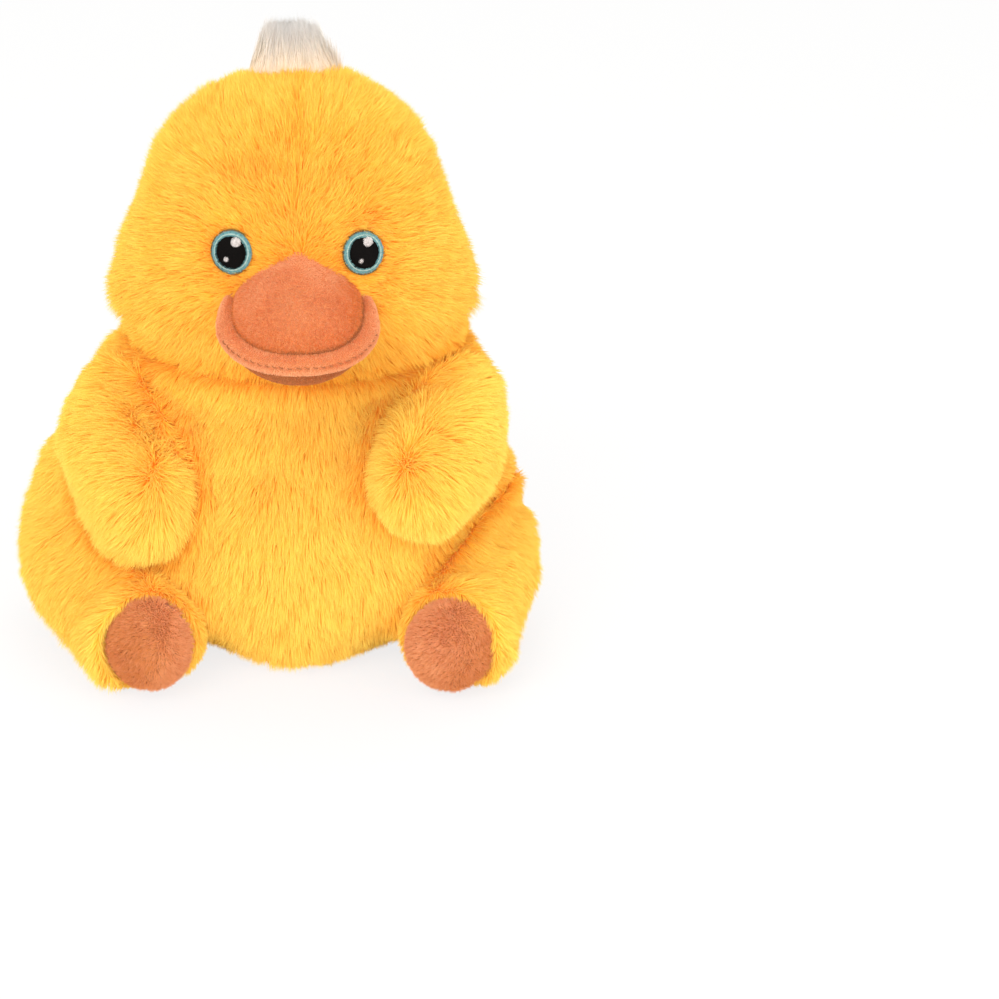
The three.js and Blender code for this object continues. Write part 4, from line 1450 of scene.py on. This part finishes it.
@dataclass
class BillPanel(VelourPiece):
    """The bill's upper and lower panel, sewn together on one outline."""

    middle: tuple[float, float, float] = (0.0, -72.0, 171.0)
    slope: float = 20.0
    half_width: float = 30.0
    length: float = 30.0
    crown: float = 23.0
    chin: float = 26.0
    chin_proud: float = 1.5
    crown_lean: float = 0.5
    chin_lean: float = 0.05
    bells: tuple[float, float] = (2.05, 1.7)  # how fast the crown and the chin grow narrow
    crown_width: float = 0.93  # the crown's width at the seam, of the chin's
    square: float = 0.85
    deepest: float = -60.0  # nothing of the bill reaches further back into the head
    nap_over: tuple[float, float] = (62.5, 64.5)  # how far out of the face the nap starts and stands thick
    around: int = 120
    rings: int = 36

    def outline(self, angle: float, grow: float = 0.0) -> Vector:
        """A point of the seam round the bill, in its own flat frame.

        Args:
            angle: the way round, from the bill's left corner over its tip.
            grow: how far outside the seam, in millimetres.

        Returns:
            The point, in millimetres.
        """
        bent = [math.copysign(abs(v) ** self.square, v) for v in (math.cos(angle), math.sin(angle))]
        return Vector(((self.half_width + grow) * bent[0], -(self.length + grow) * bent[1], 0.0))

    def placed(self, point: Vector) -> Vector:
        """Puts a point of the bill's flat frame into its place on the face, in metres.

        Args:
            point: the point, in millimetres.

        Returns:
            The place.
        """
        made = Matrix.Rotation(math.radians(self.slope), 3, "X") @ point + Vector(self.middle)
        made.y = min(made.y, self.deepest)
        return made * MM

    def form(self) -> bpy.types.Object:
        """A dome above the seam and a chin below it, as one closed skin.

        Returns:
            The object.
        """
        points, faces = [], []
        levels = np.linspace(-math.pi / 2, math.pi / 2, self.rings * 2 + 1)
        for level in levels[1:-1]:
            above = level > 0
            height, lean = (self.crown, self.crown_lean) if above else (self.chin, self.chin_lean)
            grow = -self.inset + (0 if above else self.chin_proud * min(1.0, -level / 0.4))
            for k in range(self.around):
                point = self.outline(2 * math.pi * k / self.around, grow)
                point.x *= math.cos(level) ** self.bells[0 if above else 1]
                if above:
                    point.x *= self.crown_width
                    point.y *= self.crown_width
                point.y = point.y * math.cos(level) + lean * self.length * (1 - math.cos(level))
                point.z = (height - self.inset) * math.sin(level)
                points.append(self.placed(point))
        poles = [len(points), len(points) + 1]
        points.append(self.placed(Vector((0, self.chin_lean * self.length, -self.chin + self.inset))))
        points.append(self.placed(Vector((0, self.crown_lean * self.length, self.crown - self.inset))))
        last = len(levels) - 3
        for r in range(last):
            for k in range(self.around):
                a, b = r * self.around + k, r * self.around + (k + 1) % self.around
                faces.append((a, b, b + self.around, a + self.around))
        for k in range(self.around):
            after = (k + 1) % self.around
            faces.append((poles[0], after, k))
            faces.append((last * self.around + k, last * self.around + after, poles[1]))
        return self.closed(points, faces)

    def closed(self, points: list[Vector], faces: list[tuple[int, ...]]) -> bpy.types.Object:
        """Makes an object of a closed skin whose faces point outwards.

        Args:
            points: its corners.
            faces: the corners of each face.

        Returns:
            The object.
        """
        mesh = bpy.data.meshes.new(f"{self.name}_ground")
        mesh.from_pydata(points, [], faces)
        made = bmesh.new()
        made.from_mesh(mesh)
        bmesh.ops.remove_doubles(made, verts=made.verts, dist=1e-5)
        bmesh.ops.recalc_face_normals(made, faces=made.faces)
        made.to_mesh(mesh)
        made.free()
        return new_object(f"{self.name}_ground", mesh)

    def shown(self, spots: np.ndarray) -> np.ndarray:
        """Nap stands wherever the bill is out of the face."""
        return rise(-spots[:, 1], self.nap_over)

    def in_bill(self, spots: np.ndarray) -> np.ndarray:
        """The points in the bill's own flat frame, in millimetres."""
        turn = np.array(Matrix.Rotation(math.radians(self.slope), 3, "X"))
        return (spots / MM - np.array(self.middle)) @ turn

    def pale(self, spots: np.ndarray, gap: np.ndarray) -> np.ndarray:
        """Painted light towards the crown and on the left side, and painted shade in the crease along the roll, under
        the chin and on the right side, where it folds.

        Args:
            spots: the points.
            gap: not used.

        Returns:
            A number for each point.
        """
        local = self.in_bill(spots)
        # painted light towards the crown and on the left side; painted shade lower on the dome, in the crease along the
        # roll, under the chin and on the right side
        crease = bell(distances(spots, node_tree_of(["bill_rim"])), 1.5 * MM)
        crown = 0.8 * smoothstep(local[:, 2], 7.0, 0.9 * self.crown) - 0.42
        side_shading = 0.2 * smoothstep(local[:, 0], 13.0, 24.0) - 0.2 * smoothstep(-local[:, 0], 10.0, 22.0)
        chin = 0.75 * smoothstep(-local[:, 2], 2.0, 8.0)
        return crown - side_shading - chin - 0.65 * crease


@dataclass
class BillRim(BillPanel):
    """The padded roll round the bill's edge, thinner towards its corners, with its lock stitches."""

    radius: float = 4.8
    flat: float = 0.9
    sweep: float = 232.0
    thin: float = 0.88  # the roll's thickness at its corners
    tuck: float = 2.2  # how far its corners are drawn in against the crown
    steps: int = 150
    sides: int = 40
    seam_turn: float = 20.0  # where the roll's seam lies, in degrees above its outermost line
    seam_wide: float = 11.0
    seam_deep: float = 0.12
    stitched: tuple[float, float] = (-72.0, 60.0)  # where the stitches start and end, in degrees from the tip
    stitch: float = 1.8
    stitch_gap: float = 1.2
    thread: float = 0.24

    def section(self, angle: float) -> tuple[Vector, Vector, float]:
        """The roll's middle, its way outwards and its radius at an angle round the bill.

        Args:
            angle: the way round the bill.

        Returns:
            The middle, the way and the radius.
        """
        end = float(smoothstep(np.array(abs(angle - math.pi / 2) / math.radians(self.sweep / 2)), 0.6, 1.0))
        at = self.outline(angle, -self.tuck * end)
        out = (self.outline(angle, self.radius) - at).normalized()
        return at, out, self.radius * (1 - (1 - self.thin) * end)

    def on_roll(self, angle: float, turn: float, lift: float = 0.0) -> Vector:
        """A point on the roll's skin.

        Args:
            angle: the way round the bill.
            turn: the way round the roll.
            lift: how far above it, in millimetres.

        Returns:
            The point.
        """
        at, out, radius = self.section(angle)
        off = (math.degrees(turn) - self.seam_turn + 180) % 360 - 180
        radius *= 1 - self.seam_deep * math.exp(-((off / self.seam_wide) ** 2))
        radius += lift - self.inset
        point = at + out * radius * math.cos(turn)
        point.z += radius * self.flat * math.sin(turn)
        return self.placed(point)

    def form(self) -> bpy.types.Object:
        """The roll as one closed skin.

        Returns:
            The object.
        """
        half = math.radians(self.sweep) / 2
        angles = np.linspace(math.pi / 2 - half, math.pi / 2 + half, self.steps + 1)
        points = [self.on_roll(a, 2 * math.pi * s / self.sides) for a in angles for s in range(self.sides)]
        faces: list[tuple[int, ...]] = []
        for r in range(self.steps):
            for s in range(self.sides):
                a, b = r * self.sides + s, r * self.sides + (s + 1) % self.sides
                faces.append((a, b, b + self.sides, a + self.sides))
        for end, step in ((0, -1), (self.steps * self.sides, 1)):
            faces.append(tuple(end + s for s in range(self.sides))[::step])
        return self.closed(points, faces)

    def make(self, shop: Workshop) -> list[bpy.types.Object]:
        """Builds the roll and the line of lock stitches in its seam.

        Args:
            shop: the trees and finishes.

        Returns:
            The pieces.
        """
        made = super().make(shop)
        first, last = (math.radians(90 + turn) for turn in self.stitched)
        lines, angle = [], first
        rng = np.random.default_rng(5)
        while angle < last:
            length = max((self.outline(angle + 0.01) - self.outline(angle)).length / 0.01, 1.0)
            step = self.stitch / length
            slant = rng.uniform(4.0, 16.0)
            arch = ((0, 0.3), (0.33, 1.0), (0.67, 1.0), (1, 0.3))  # a stitch rises out of the seam and dips back in
            turns = [(s, math.radians(self.seam_turn + slant * s), lift) for s, lift in arch]
            lines.append([self.on_roll(angle + step * s, turn, lift) for s, turn, lift in turns])
            angle += step + self.stitch_gap * rng.uniform(0.7, 1.3) / length
        piece = threads_along(shop, "bill_rim_stitches", lines, self.thread, 0.5, shop.seam_thread)
        return [*made, sewn_to(piece, self.body)]

    def pale(self, spots: np.ndarray, gap: np.ndarray) -> np.ndarray:
        """Painted shade against the crown, in the roll's own seam and under it.

        Args:
            spots: the points.
            gap: not used.

        Returns:
            A number for each point.
        """
        # painted shade: against the crown, in the roll's seam and under the roll; the rest of the roll is paler
        crease = bell(distances(spots, node_tree_of(["bill_upper"])), 1.6 * MM)
        local = self.in_bill(spots)
        under = 0.5 * smoothstep(-local[:, 2], 1.5, 4.0)
        seam = 0.45 * bell(local[:, 2] - 1.4, 0.8) * (local[:, 1] < 0)
        return 0.4 - 0.65 * crease - under - seam


# ---------------------------------------------------------------- eyes


@dataclass
class Eye:
    """An eye in satin stitch: a ring, a pupil and two glints."""

    side: str
    thread: float = 0.3
    spacing: float = 0.5
    dome: float = 0.9
    pressed: float = 0.3  # how far the ring's edge is drawn into the cloth
    satin_dome: float = 0.5  # how far the middle of a satin stitch stands over its ends
    taper: float = 0.55
    corner: float = 0.07  # how far the right eye comes to a point at its foot
    corner_wide: float = 0.2

    def make(self, shop: Workshop) -> list[bpy.types.Object]:
        """Builds the eye's stitches.

        Args:
            shop: the trees and finishes.

        Returns:
            The pieces.
        """
        iris = f"iris_{self.side}"
        self.iris = self.plane(iris)
        pupil = self.plane(f"pupil_{self.side}")
        turns = int(2 * math.pi * self.iris[2] * 0.92 / (self.spacing * MM))
        rng = np.random.default_rng(7 if self.side == "left" else 8)
        ring, inner, edge = [], [], []
        for k in range(turns):
            angle = 2 * math.pi * k / turns
            jitter = rng.uniform(-0.05, 0.05, 2)
            foot = math.exp(-(((angle - 1.5 * math.pi) / self.corner_wide) ** 2))
            point = self.corner * foot if self.side == "right" else 0.0
            shares = (0.70 + jitter[0], 0.79, 0.88, 0.97 + jitter[1] / 2 + point)
            ring.append([self.spot(self.iris, angle, share, 0.1) for share in shares])
        along = (0.0, 0.4, 0.75, 1.1)
        for k in range(turns // 2):
            angle = 2 * math.pi * k / (turns // 2)
            step = 2 * math.pi / (turns // 2)
            wave = [(angle + step * s, 0.80 + (0.03 if s in (0, 0.75) else 0)) for s in along]
            inner.append([self.spot(self.iris, turn, share, 0.3) for turn, share in wave])
            if math.sin(angle + 0.9) < -0.15 or math.sin(angle) > 0.75:
                edge.append([self.spot(self.iris, angle + step * s, 1.0, -0.15) for s in along])
        made = [self.sew(shop, f"{iris}_stitches", ring, shop.ring_thread, (iris,))]
        made.append(self.sew(shop, f"{iris}_inner_line", inner, shop.ring_light, ()))
        made.append(self.sew(shop, f"{iris}_outline", edge, shop.outline_thread, ()))
        made.append(self.ground(shop.ring_thread, "iris", 0.96, -0.3))
        made.append(self.ground(shop.pupil_thread, "pupil", 0.70, 0.25))
        black, white = (shop.pupil_thread, "pupil_thread"), (shop.glint_thread, "glint_thread")
        made.append(self.satin(shop, f"pupil_{self.side}", pupil, 0.55, *black, 1.05, 0.75))
        for size, grow, shift in (("large", 0.95, (-0.5, 1.2)), ("small", 1.1, (0.9, 0.2))):
            node = f"glint_{size}_{self.side}"
            top, axes, radius = self.plane(node)
            moved = top + axes @ Vector((*shift, 0.0)) * MM
            made.append(self.satin(shop, node, (moved, axes, radius), -0.9, *white, grow, 0.95))
        return made

    def ground(self, finish: bpy.types.Material, name: str, share: float, lift: float) -> bpy.types.Object:
        """Makes the first layer of stitches under the others, as one domed disc.

        Args:
            finish: the thread.
            name: what lies above it.
            share: its radius, of the ring's.
            lift: how far it stands above the ring's face, in millimetres.

        Returns:
            The piece.
        """
        count = 48
        points, faces = [self.spot(self.iris, 0.0, 0.0, lift)], []
        for ring in range(1, 5):
            points += [self.spot(self.iris, 2 * math.pi * k / count, share * ring / 4, lift) for k in range(count)]
        for k in range(count):
            after = (k + 1) % count
            faces.append((0, 1 + k, 1 + after))
            for ring in range(3):
                low = 1 + ring * count
                faces.append((low + k, low + count + k, low + count + after, low + after))
        mesh = bpy.data.meshes.new(f"{name}_{self.side}_ground")
        mesh.from_pydata(points, [], faces)
        shade_smooth(mesh)
        finish_with(mesh, finish)
        return sewn_to(new_object(mesh.name, mesh), Body.HEAD)

    def plane(self, node: str) -> tuple[Vector, Matrix, float]:
        """A disc node's middle on its outer face, its axes and its radius.

        Args:
            node: the CAD node.

        Returns:
            The middle, a matrix whose columns are across, up and out, and the radius.
        """
        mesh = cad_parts[node].data
        spots = positions(mesh).astype(np.float64)
        middle = spots.mean(axis=0)
        _, _, axes = np.linalg.svd(spots - middle, full_matrices=False)
        out = Vector(axes[2])
        if out.y > 0:
            out.negate()
        across = Vector((0, 0, 1)).cross(out).normalized()
        up = out.cross(across).normalized()
        local = (spots - middle) @ np.array([across, up, out]).T
        radius = (np.abs(local[:, 0]).max() + np.abs(local[:, 1]).max()) / 2
        top = Vector(middle) + out * float(local[:, 2].max())
        return top, Matrix((across, up, out)).transposed(), float(radius)

    def spot(self, plane: tuple[Vector, Matrix, float], angle: float, share: float, lift: float = 0.0) -> Vector:
        """A point on the domed face of a disc.

        Args:
            plane: the disc.
            angle: the way round.
            share: how far out, of its radius.
            lift: how far above the face, in millimetres.

        Returns:
            The point.
        """
        top, axes, radius = plane
        height = self.dome * MM * (1 - min(share, 1.0) ** 2) - self.pressed * MM + lift * MM
        return top + axes @ Vector((math.cos(angle) * share * radius, math.sin(angle) * share * radius, height))

    def satin(
        self,
        shop: Workshop,
        node: str,
        plane: tuple[Vector, Matrix, float],
        tilt: float,
        finish: bpy.types.Material,
        slot: str,
        grow: float,
        lift: float,
    ) -> bpy.types.Object:
        """Fills a disc with parallel stitches.

        Args:
            shop: the trees and finishes.
            node: the CAD node that the stitches stand for.
            plane: the disc.
            tilt: the stitches' direction, in radians.
            finish: the thread.
            slot: not used.
            grow: the disc's size as a share.
            lift: how far the stitches stand up, in millimetres.

        Returns:
            The piece.
        """
        top, axes, radius = plane
        radius *= grow
        rng = np.random.default_rng(len(node) + int(1000 * abs(tilt)))
        rows = max(3, int(2 * radius / (self.spacing * MM)))
        lines = []
        for k in range(rows):
            across = (k + 0.5) / rows * 2 - 1
            half = math.sqrt(max(0.0, 1 - across * across)) + rng.uniform(-0.09, 0.06)
            line = []
            for s in np.linspace(-1, 1, 6):
                x, y = s * half * radius, across * radius
                u = x * math.cos(tilt) - y * math.sin(tilt)
                v = x * math.sin(tilt) + y * math.cos(tilt)
                height = lift * MM + self.satin_dome * MM * (1 - (s * half) ** 2 - across * across)
                line.append(top + axes @ Vector((u, v, height)))
            lines.append(line)
        return self.sew(shop, f"{node}_stitches", lines, finish, (node,))

    def sew(
        self,
        shop: Workshop,
        name: str,
        lines: list[list[Vector]],
        finish: bpy.types.Material,
        nodes: tuple[str, ...],
    ) -> bpy.types.Object:
        """Lays a thread along each line."""
        return sewn_to(threads_along(shop, name, lines, self.thread, self.taper, finish), Body.HEAD, nodes)


def threads_along(
    shop: Workshop, name: str, lines: list[list[Vector]], radius: float, taper: float, finish: bpy.types.Material
) -> bpy.types.Object:
    """Makes one piece of many short threads.

    Args:
        shop: the trees and finishes.
        name: the piece's name.
        lines: the path of each thread.
        radius: the thread's radius, in millimetres.
        taper: how much thinner its ends are, as a share.
        finish: the thread's finish.

    Returns:
        The piece.
    """
    points: list[Vector] = []
    edges: list[tuple[int, int]] = []
    for line in lines:
        start = len(points)
        points.extend(line)
        edges.extend((start + i, start + i + 1) for i in range(len(line) - 1))
    mesh = bpy.data.meshes.new(name)
    mesh.from_pydata(points, edges, [])
    piece = shop.threads.run(new_object(f"{name}_paths", mesh), name, Radius=radius * MM, Taper=taper, Finish=finish)
    shade_smooth(piece.data)
    return piece


# ---------------------------------------------------------------- studio


@dataclass(frozen=True)
class Studio:
    """The photograph's view of the toy, a pale floor and soft light."""

    anchor: tuple[float, float, float] = (0.0, 0.0, 0.127)
    distance: float = 1.233
    elevation: float = 22.0
    focal_px: float = 2771.0
    image_px: float = 999.0
    anchor_px: tuple[float, float] = (298.0, 350.0)
    sensor: float = 36.0
    floor_half: float = 6.0
    sky: float = 0.83  # the even light from all round, of white
    glow: float = 0.8  # how much of the floor's white is its own, so that a soft shadow is left

    def build(self) -> None:
        """Makes the camera, the lights and the floor."""
        self.camera()
        self.lights()
        self.floor()

    def camera(self) -> None:
        """Turns the camera so that the middle of the toy lands on its pixel."""
        data = bpy.data.cameras.new("camera")
        data.sensor_width = self.sensor
        data.lens = self.focal_px / self.image_px * self.sensor
        data.clip_start, data.clip_end = 0.05, 50
        made = new_object("camera", data)
        height = math.radians(self.elevation)
        anchor = Vector(self.anchor)
        place = anchor + self.distance * Vector((0, -math.cos(height), math.sin(height)))
        middle = self.image_px / 2
        seen = Vector((self.anchor_px[0] - middle, middle - self.anchor_px[1], -self.focal_px)).normalized()
        aim = (anchor - place).to_track_quat("-Z", "Y") @ seen.rotation_difference(Vector((0, 0, -1)))
        made.matrix_world = Matrix.Translation(place) @ aim.to_matrix().to_4x4()
        bpy.context.scene.camera = made

    def lights(self) -> None:
        """A broad key from the upper left front, a fill and a top light, and an even sky."""
        for name, place, size, power in (
            ("key", (-0.75, -1.25, 1.25), 1.3, 14.0),
            ("fill", (1.2, -1.1, 0.55), 1.4, 8.0),
            ("front", (0.0, -1.7, 0.45), 1.2, 6.0),
            ("top", (0.1, 0.5, 1.6), 1.2, 5.0),
        ):
            data = bpy.data.lights.new(name, "AREA")
            data.shape, data.size, data.energy = "DISK", size, power
            made = new_object(name, data)
            spot = Vector(place)
            turn = (Vector((0, 0, 0.12)) - spot).to_track_quat("-Z", "Y")
            made.matrix_world = Matrix.Translation(spot) @ turn.to_matrix().to_4x4()
        world = bpy.data.worlds.new("studio")
        world.use_nodes = True
        tree = world.node_tree
        tree.nodes.clear()
        sky = add_node(tree, "ShaderNodeBackground", {"Color": (1, 1, 1, 1), "Strength": self.sky})
        white = add_node(tree, "ShaderNodeBackground", {"Color": (1, 1, 1, 1), "Strength": 1.0})
        mixed = add_node(tree, "ShaderNodeMixShader", {0: seen_by_eye(tree), 1: sky, 2: white})
        add_node(tree, "ShaderNodeOutputWorld", {"Surface": mixed})
        bpy.context.scene.world = world

    def floor(self) -> None:
        """A white paper floor that keeps a soft shadow."""
        half = self.floor_half
        mesh = bpy.data.meshes.new("floor")
        mesh.from_pydata([(-half, -half, 0), (half, -half, 0), (half, half, 0), (-half, half, 0)], [], [(0, 1, 2, 3)])
        made = new_object("floor", mesh)
        paper = bpy.data.materials.new("white background paper")
        paper.use_nodes = True
        tree = paper.node_tree
        tree.nodes.clear()
        shader = add_node(tree, "ShaderNodeBsdfDiffuse", {"Color": linear("F4F3F1")})
        glow = add_node(tree, "ShaderNodeEmission", {"Color": (1, 1, 1, 1), "Strength": 1.0})
        share = add_node(tree, MATH, {0: seen_by_eye(tree), 1: self.glow}, operation="MULTIPLY")
        mixed = add_node(tree, "ShaderNodeMixShader", {0: share, 1: shader, 2: glow})
        add_node(tree, "ShaderNodeOutputMaterial", {"Surface": mixed})
        mesh.materials.append(paper)


def seen_by_eye(tree: bpy.types.NodeTree) -> bpy.types.NodeSocket:
    """1 for a ray that the camera, a mirror or glass sends, else 0.

    Args:
        tree: the tree to add to.

    Returns:
        The socket.
    """
    path = add_node(tree, "ShaderNodeLightPath").outputs
    first = add_node(tree, MATH, {0: path["Is Camera Ray"], 1: path["Is Glossy Ray"]}, operation="MAXIMUM")
    return add_node(tree, MATH, {0: first, 1: path["Is Transmission Ray"]}, operation="MAXIMUM").outputs[0]


def thread(
    name: str, colour: str, dark: str, grain_mm: float = 0.9, roughness: float = 0.5, shine: float = 0.25
) -> bpy.types.Material:
    """Makes a thread's finish, whose grain is painted light and shade that stands for the twist of its strands.

    Args:
        name: the finish's name.
        colour: the painted light side of its twist.
        dark: the painted shade side of its twist.
        grain_mm: the twist's length, drawn coarser than it is, so that it shows.
        roughness: how dull its gloss is.
        shine: how strong its gloss is.

    Returns:
        The material.
    """
    return ClothFinish(name, colour, dark, grain_mm, roughness, sheen=0.0, shine=shine).material()


def open_workshop() -> Workshop:
    """Makes the trees and every finish of the toy.

    Returns:
        The workshop.
    """
    peach = "FFD8B8"  # the light on the nap of orange velour
    return Workshop(
        pile=PileWork(),
        threads=ThreadWork(),
        # Extruded polyester fibre, brushed: soft, hardly any gloss; painted shade makes it orange at its roots and in
        # seams, and painted light makes it yellow at its tips.
        plush=PileFinish(
            "long polyester plush",
            deep=("EE8418", "F59A28"),
            warm=("F7AC2E", "FAC03E"),
            pale=("F9C440", "FBDE66"),
            sheen=0.15,
        ).material(),
        # Weft-knitted polyester: matt, and painted a little darker than its pile as shade, so that a parting reads as
        # depth.
        backing=ClothFinish("knitted plush backing", "F9A62C", "E88A1C").material(),
        # Undyed polyester fibre: cream at its roots and a cool off-white at its tips.
        tuft=PileFinish(
            "off-white long plush",
            deep=("E8C890", "D2C8B8"),
            warm=("ECD8B4", "D6D1CB"),
            pale=("ECE2CE", "E8E5E1"),
            sheen_tint="FFFFFF",
        ).material(),
        # Sheared polyester velour: a suede-like, dusty orange; its pale tone is painted light where light falls on the
        # nap, and its deep tone painted shade.
        velour=PileFinish(
            "orange short velour",
            deep=("A86438", "BE7644"),
            warm=("DA7636", "E88442"),
            pale=("EAA066", "F4BA8E"),
            sheen_tint=peach,
        ).material(),
        # The velour's knit: matt, close to its nap, with loops finer than the render shows.
        velour_ground=ClothFinish("orange velour ground", "DE8A54", "C87844", grain_mm=0.5).material(),
        # The same cloth brushed two ways: painted light on one side and painted shade on the other, which meet in a
        # parting.
        pad_velour=PileFinish(
            "orange two-way velour",
            deep=("B47A4E", "C88A58"),
            warm=("D48446", "E49250"),
            pale=("E89C62", "F8B888"),
            sheen_tint=peach,
        ).material(),
        # The pads' knit: darker, a painted shade, as it is seen down between the parted fibres.
        pad_ground=ClothFinish("orange pad ground", "C07444", "A05C34", grain_mm=0.5).material(),
        # Carded polyester staple: white and matt, in soft lumps of a few fibres.
        filling=ClothFinish("polyester fibre filling", "F6F3EC", "DDD8CC", grain_mm=2.0).material(),
        # Spun-bonded polypropylene: off-white and matt, with a fine mottle.
        pouch=ClothFinish("white nonwoven pouch cloth", "EDEAE2", "CFCBC0", grain_mm=0.6).material(),
        # Rayon embroidery threads, twisted: clean bright colours with a satin gloss.
        ring_thread=thread("teal embroidery thread", "7CAAA8", "4A7A80"),
        ring_light=thread("pale teal embroidery thread", "B8CCC2", "8CACA4"),
        outline_thread=thread("dark green embroidery thread", "7A6A38", "3C4030", roughness=0.6),
        # The pupil's thread is nearly matt, so that it stays black under the front lamp.
        pupil_thread=thread("black embroidery thread", "0E0A08", "050403", 0.6, 0.75, 0.1),
        glint_thread=thread("off-white embroidery thread", "DDD6D2", "ADA49E", 0.6),
        # Spun polyester sewing thread: dull, a shade darker than the cloth that it is sewn through.
        seam_thread=thread("orange sewing thread", "B87044", "985A34", 0.3, 0.6),
    )


def makers() -> list[StuffedBody | Eye]:
    """Every part of the toy, in the order they are made.

    Returns:
        The parts.
    """
    short = PileCut(1.0, 0.35, 7.2, clump=4.0, clump_pull=0.05, wisp=1.4, wisp_pull=0.15, comb=0.7, droop=0.0)
    rough = PileCut(2.6, 0.37, 6.6, clump=2.4, clump_pull=0.5, wisp=1.1, wisp_pull=0.5, comb=0.8, stray=0.35, droop=0.0)
    tuft = PileCut(18, 0.4, 15.0, clump=5, clump_pull=0.1, wisp=1.6, wisp_pull=0.25, comb=0, stray=1.1, droop=0.0)
    long = {"cut": PileCut(), "layers": 3}
    squeeze, right_shift, left_shift = 0.92, (2.2, 0.0, 0.0), (0.0, 0.0, -1.5)
    parts: list[Any] = [
        Torso(
            Body.TORSO, "torso", ("torso_skin",), ("torso_filling", "pellet_pouch"),
            cut=PileCut(per_mm2=2.6), layers=4, seed=1, lighter=0.36,
            dents=(
                Dent((-45, -70, 8), (22, 25, 14), 5.0),
                Dent((45, -70, 8), (22, 25, 14), 5.0),
                Dent((0, -78, 6), (16, 20, 12), -1.5),
                Dent((-86, 10, 124), (16, 40, 14), -5.5),
            ),
        ),
        Limb(
            Body.TORSO, "tail", ("tail_skin",), ("tail_filling",),
            seed=2, voxel=2.5, lighter=0.3, flow=(0.0, 0.8, -0.5),
        ),
        Head(
            Body.HEAD, "head", ("head_skin",), ("head_filling",), **long, seed=3, lighter=-0.1,
            dents=(
                Dent((-60, 0, 228), (20, 40, 15), -1.2),
                Dent((76, 0, 200), (30, 45, 32), 3.6),
                Dent((-80, 0, 147), (25, 45, 8), 3.0),
                Dent((82, 0, 142), (25, 45, 12), 5.0),
                Dent((84, 0, 158), (25, 45, 13), 3.4),
            ),
        ),
        CrownTuft(Body.HEAD, "crown_tuft", ("crown_tuft",), cut=tuft, seed=4),
        Limb(
            Body.WING_LEFT, "wing_left", ("wing_skin_left",), ("wing_filling_left",),
            **long, seed=6, lighter=0.45, flow=(0.55, 0.3, -0.78),
            dents=(Dent((102, 0, 100), (25, 60, 20), 2.0),),
        ),
        Limb(
            Body.WING_RIGHT, "wing_right", ("wing_skin_right",), ("wing_filling_right",),
            **long, seed=7, lighter=0.45, flow=(-0.55, 0.3, -0.78),
            dents=(Dent((-98, 0, 106), (25, 60, 22), -7.5), Dent((-86, 0, 136), (20, 60, 13), -7.0)),
        ),
        Limb(
            Body.LEG_LEFT, "leg_left", ("leg_skin_left",), ("leg_filling_left",),
            **long, seed=10, lighter=0.4, flow=(0.45, -0.3, -0.83), pad="foot_pad_left", pad_shift=left_shift,
            dents=(
                Dent((106, 0, 74), (25, 70, 16), 4.5),
                Dent((106, 0, 57), (20, 60, 10), 1.5),
                Dent((100, -40, 22), (25, 40, 15), -2.5),
            ),
        ),
        Limb(
            Body.LEG_RIGHT, "leg_right", ("leg_skin_right",), ("leg_filling_right",),
            **long, seed=8, lighter=0.42, flow=(-0.45, -0.3, -0.83),
            pad="foot_pad_right", pad_squeeze=squeeze, pad_shift=right_shift,
            dents=(
                Dent((-116, 0, 64), (30, 50, 14), 3.5),
                Dent((-98, 0, 92), (20, 50, 14), -6.5),
                Dent((-46, -80, 22), (8, 22, 22), -4.0),
                Dent((-94, -75, 8), (14, 20, 12), -3.5),
            ),
        ),
        FootPad(Body.LEG_LEFT, "foot_pad_left", ("foot_pad_left",), cut=rough, seed=14, shift=left_shift, turned=-1.0),
        FootPad(
            Body.LEG_RIGHT, "foot_pad_right", ("foot_pad_right",),
            cut=rough, seed=12, squeeze=squeeze, shift=right_shift,
        ),
        BillPanel(
            Body.HEAD, "bill_panels", ("bill_upper", "bill_lower"), ("bill_filling",),
            cut=short, seed=31, fill_inset=3.6,
        ),
        BillRim(Body.HEAD, "bill_rim_roll", ("bill_rim",), cut=short, seed=32, inset=0.8),
        Eye("left"),
        Eye("right"),
    ]
    return parts


def main() -> None:
    """Builds the studio and the toy."""
    logging.basicConfig(level=logging.INFO, format="%(name)s: %(message)s")
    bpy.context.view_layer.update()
    bpy.context.scene.view_settings.view_transform = "Standard"
    bpy.context.scene.cycles.diffuse_bounces = LIGHT_IN_PILE
    bpy.context.scene.cycles.max_bounces = LIGHT_IN_PILE
    Studio().build()
    shop = open_workshop()
    for part in makers():
        pieces = part.make(shop)
        log.info("made %s", ", ".join(p.name for p in pieces))
    bpy.context.view_layer.update()


if __name__ == "__main__":
    main()
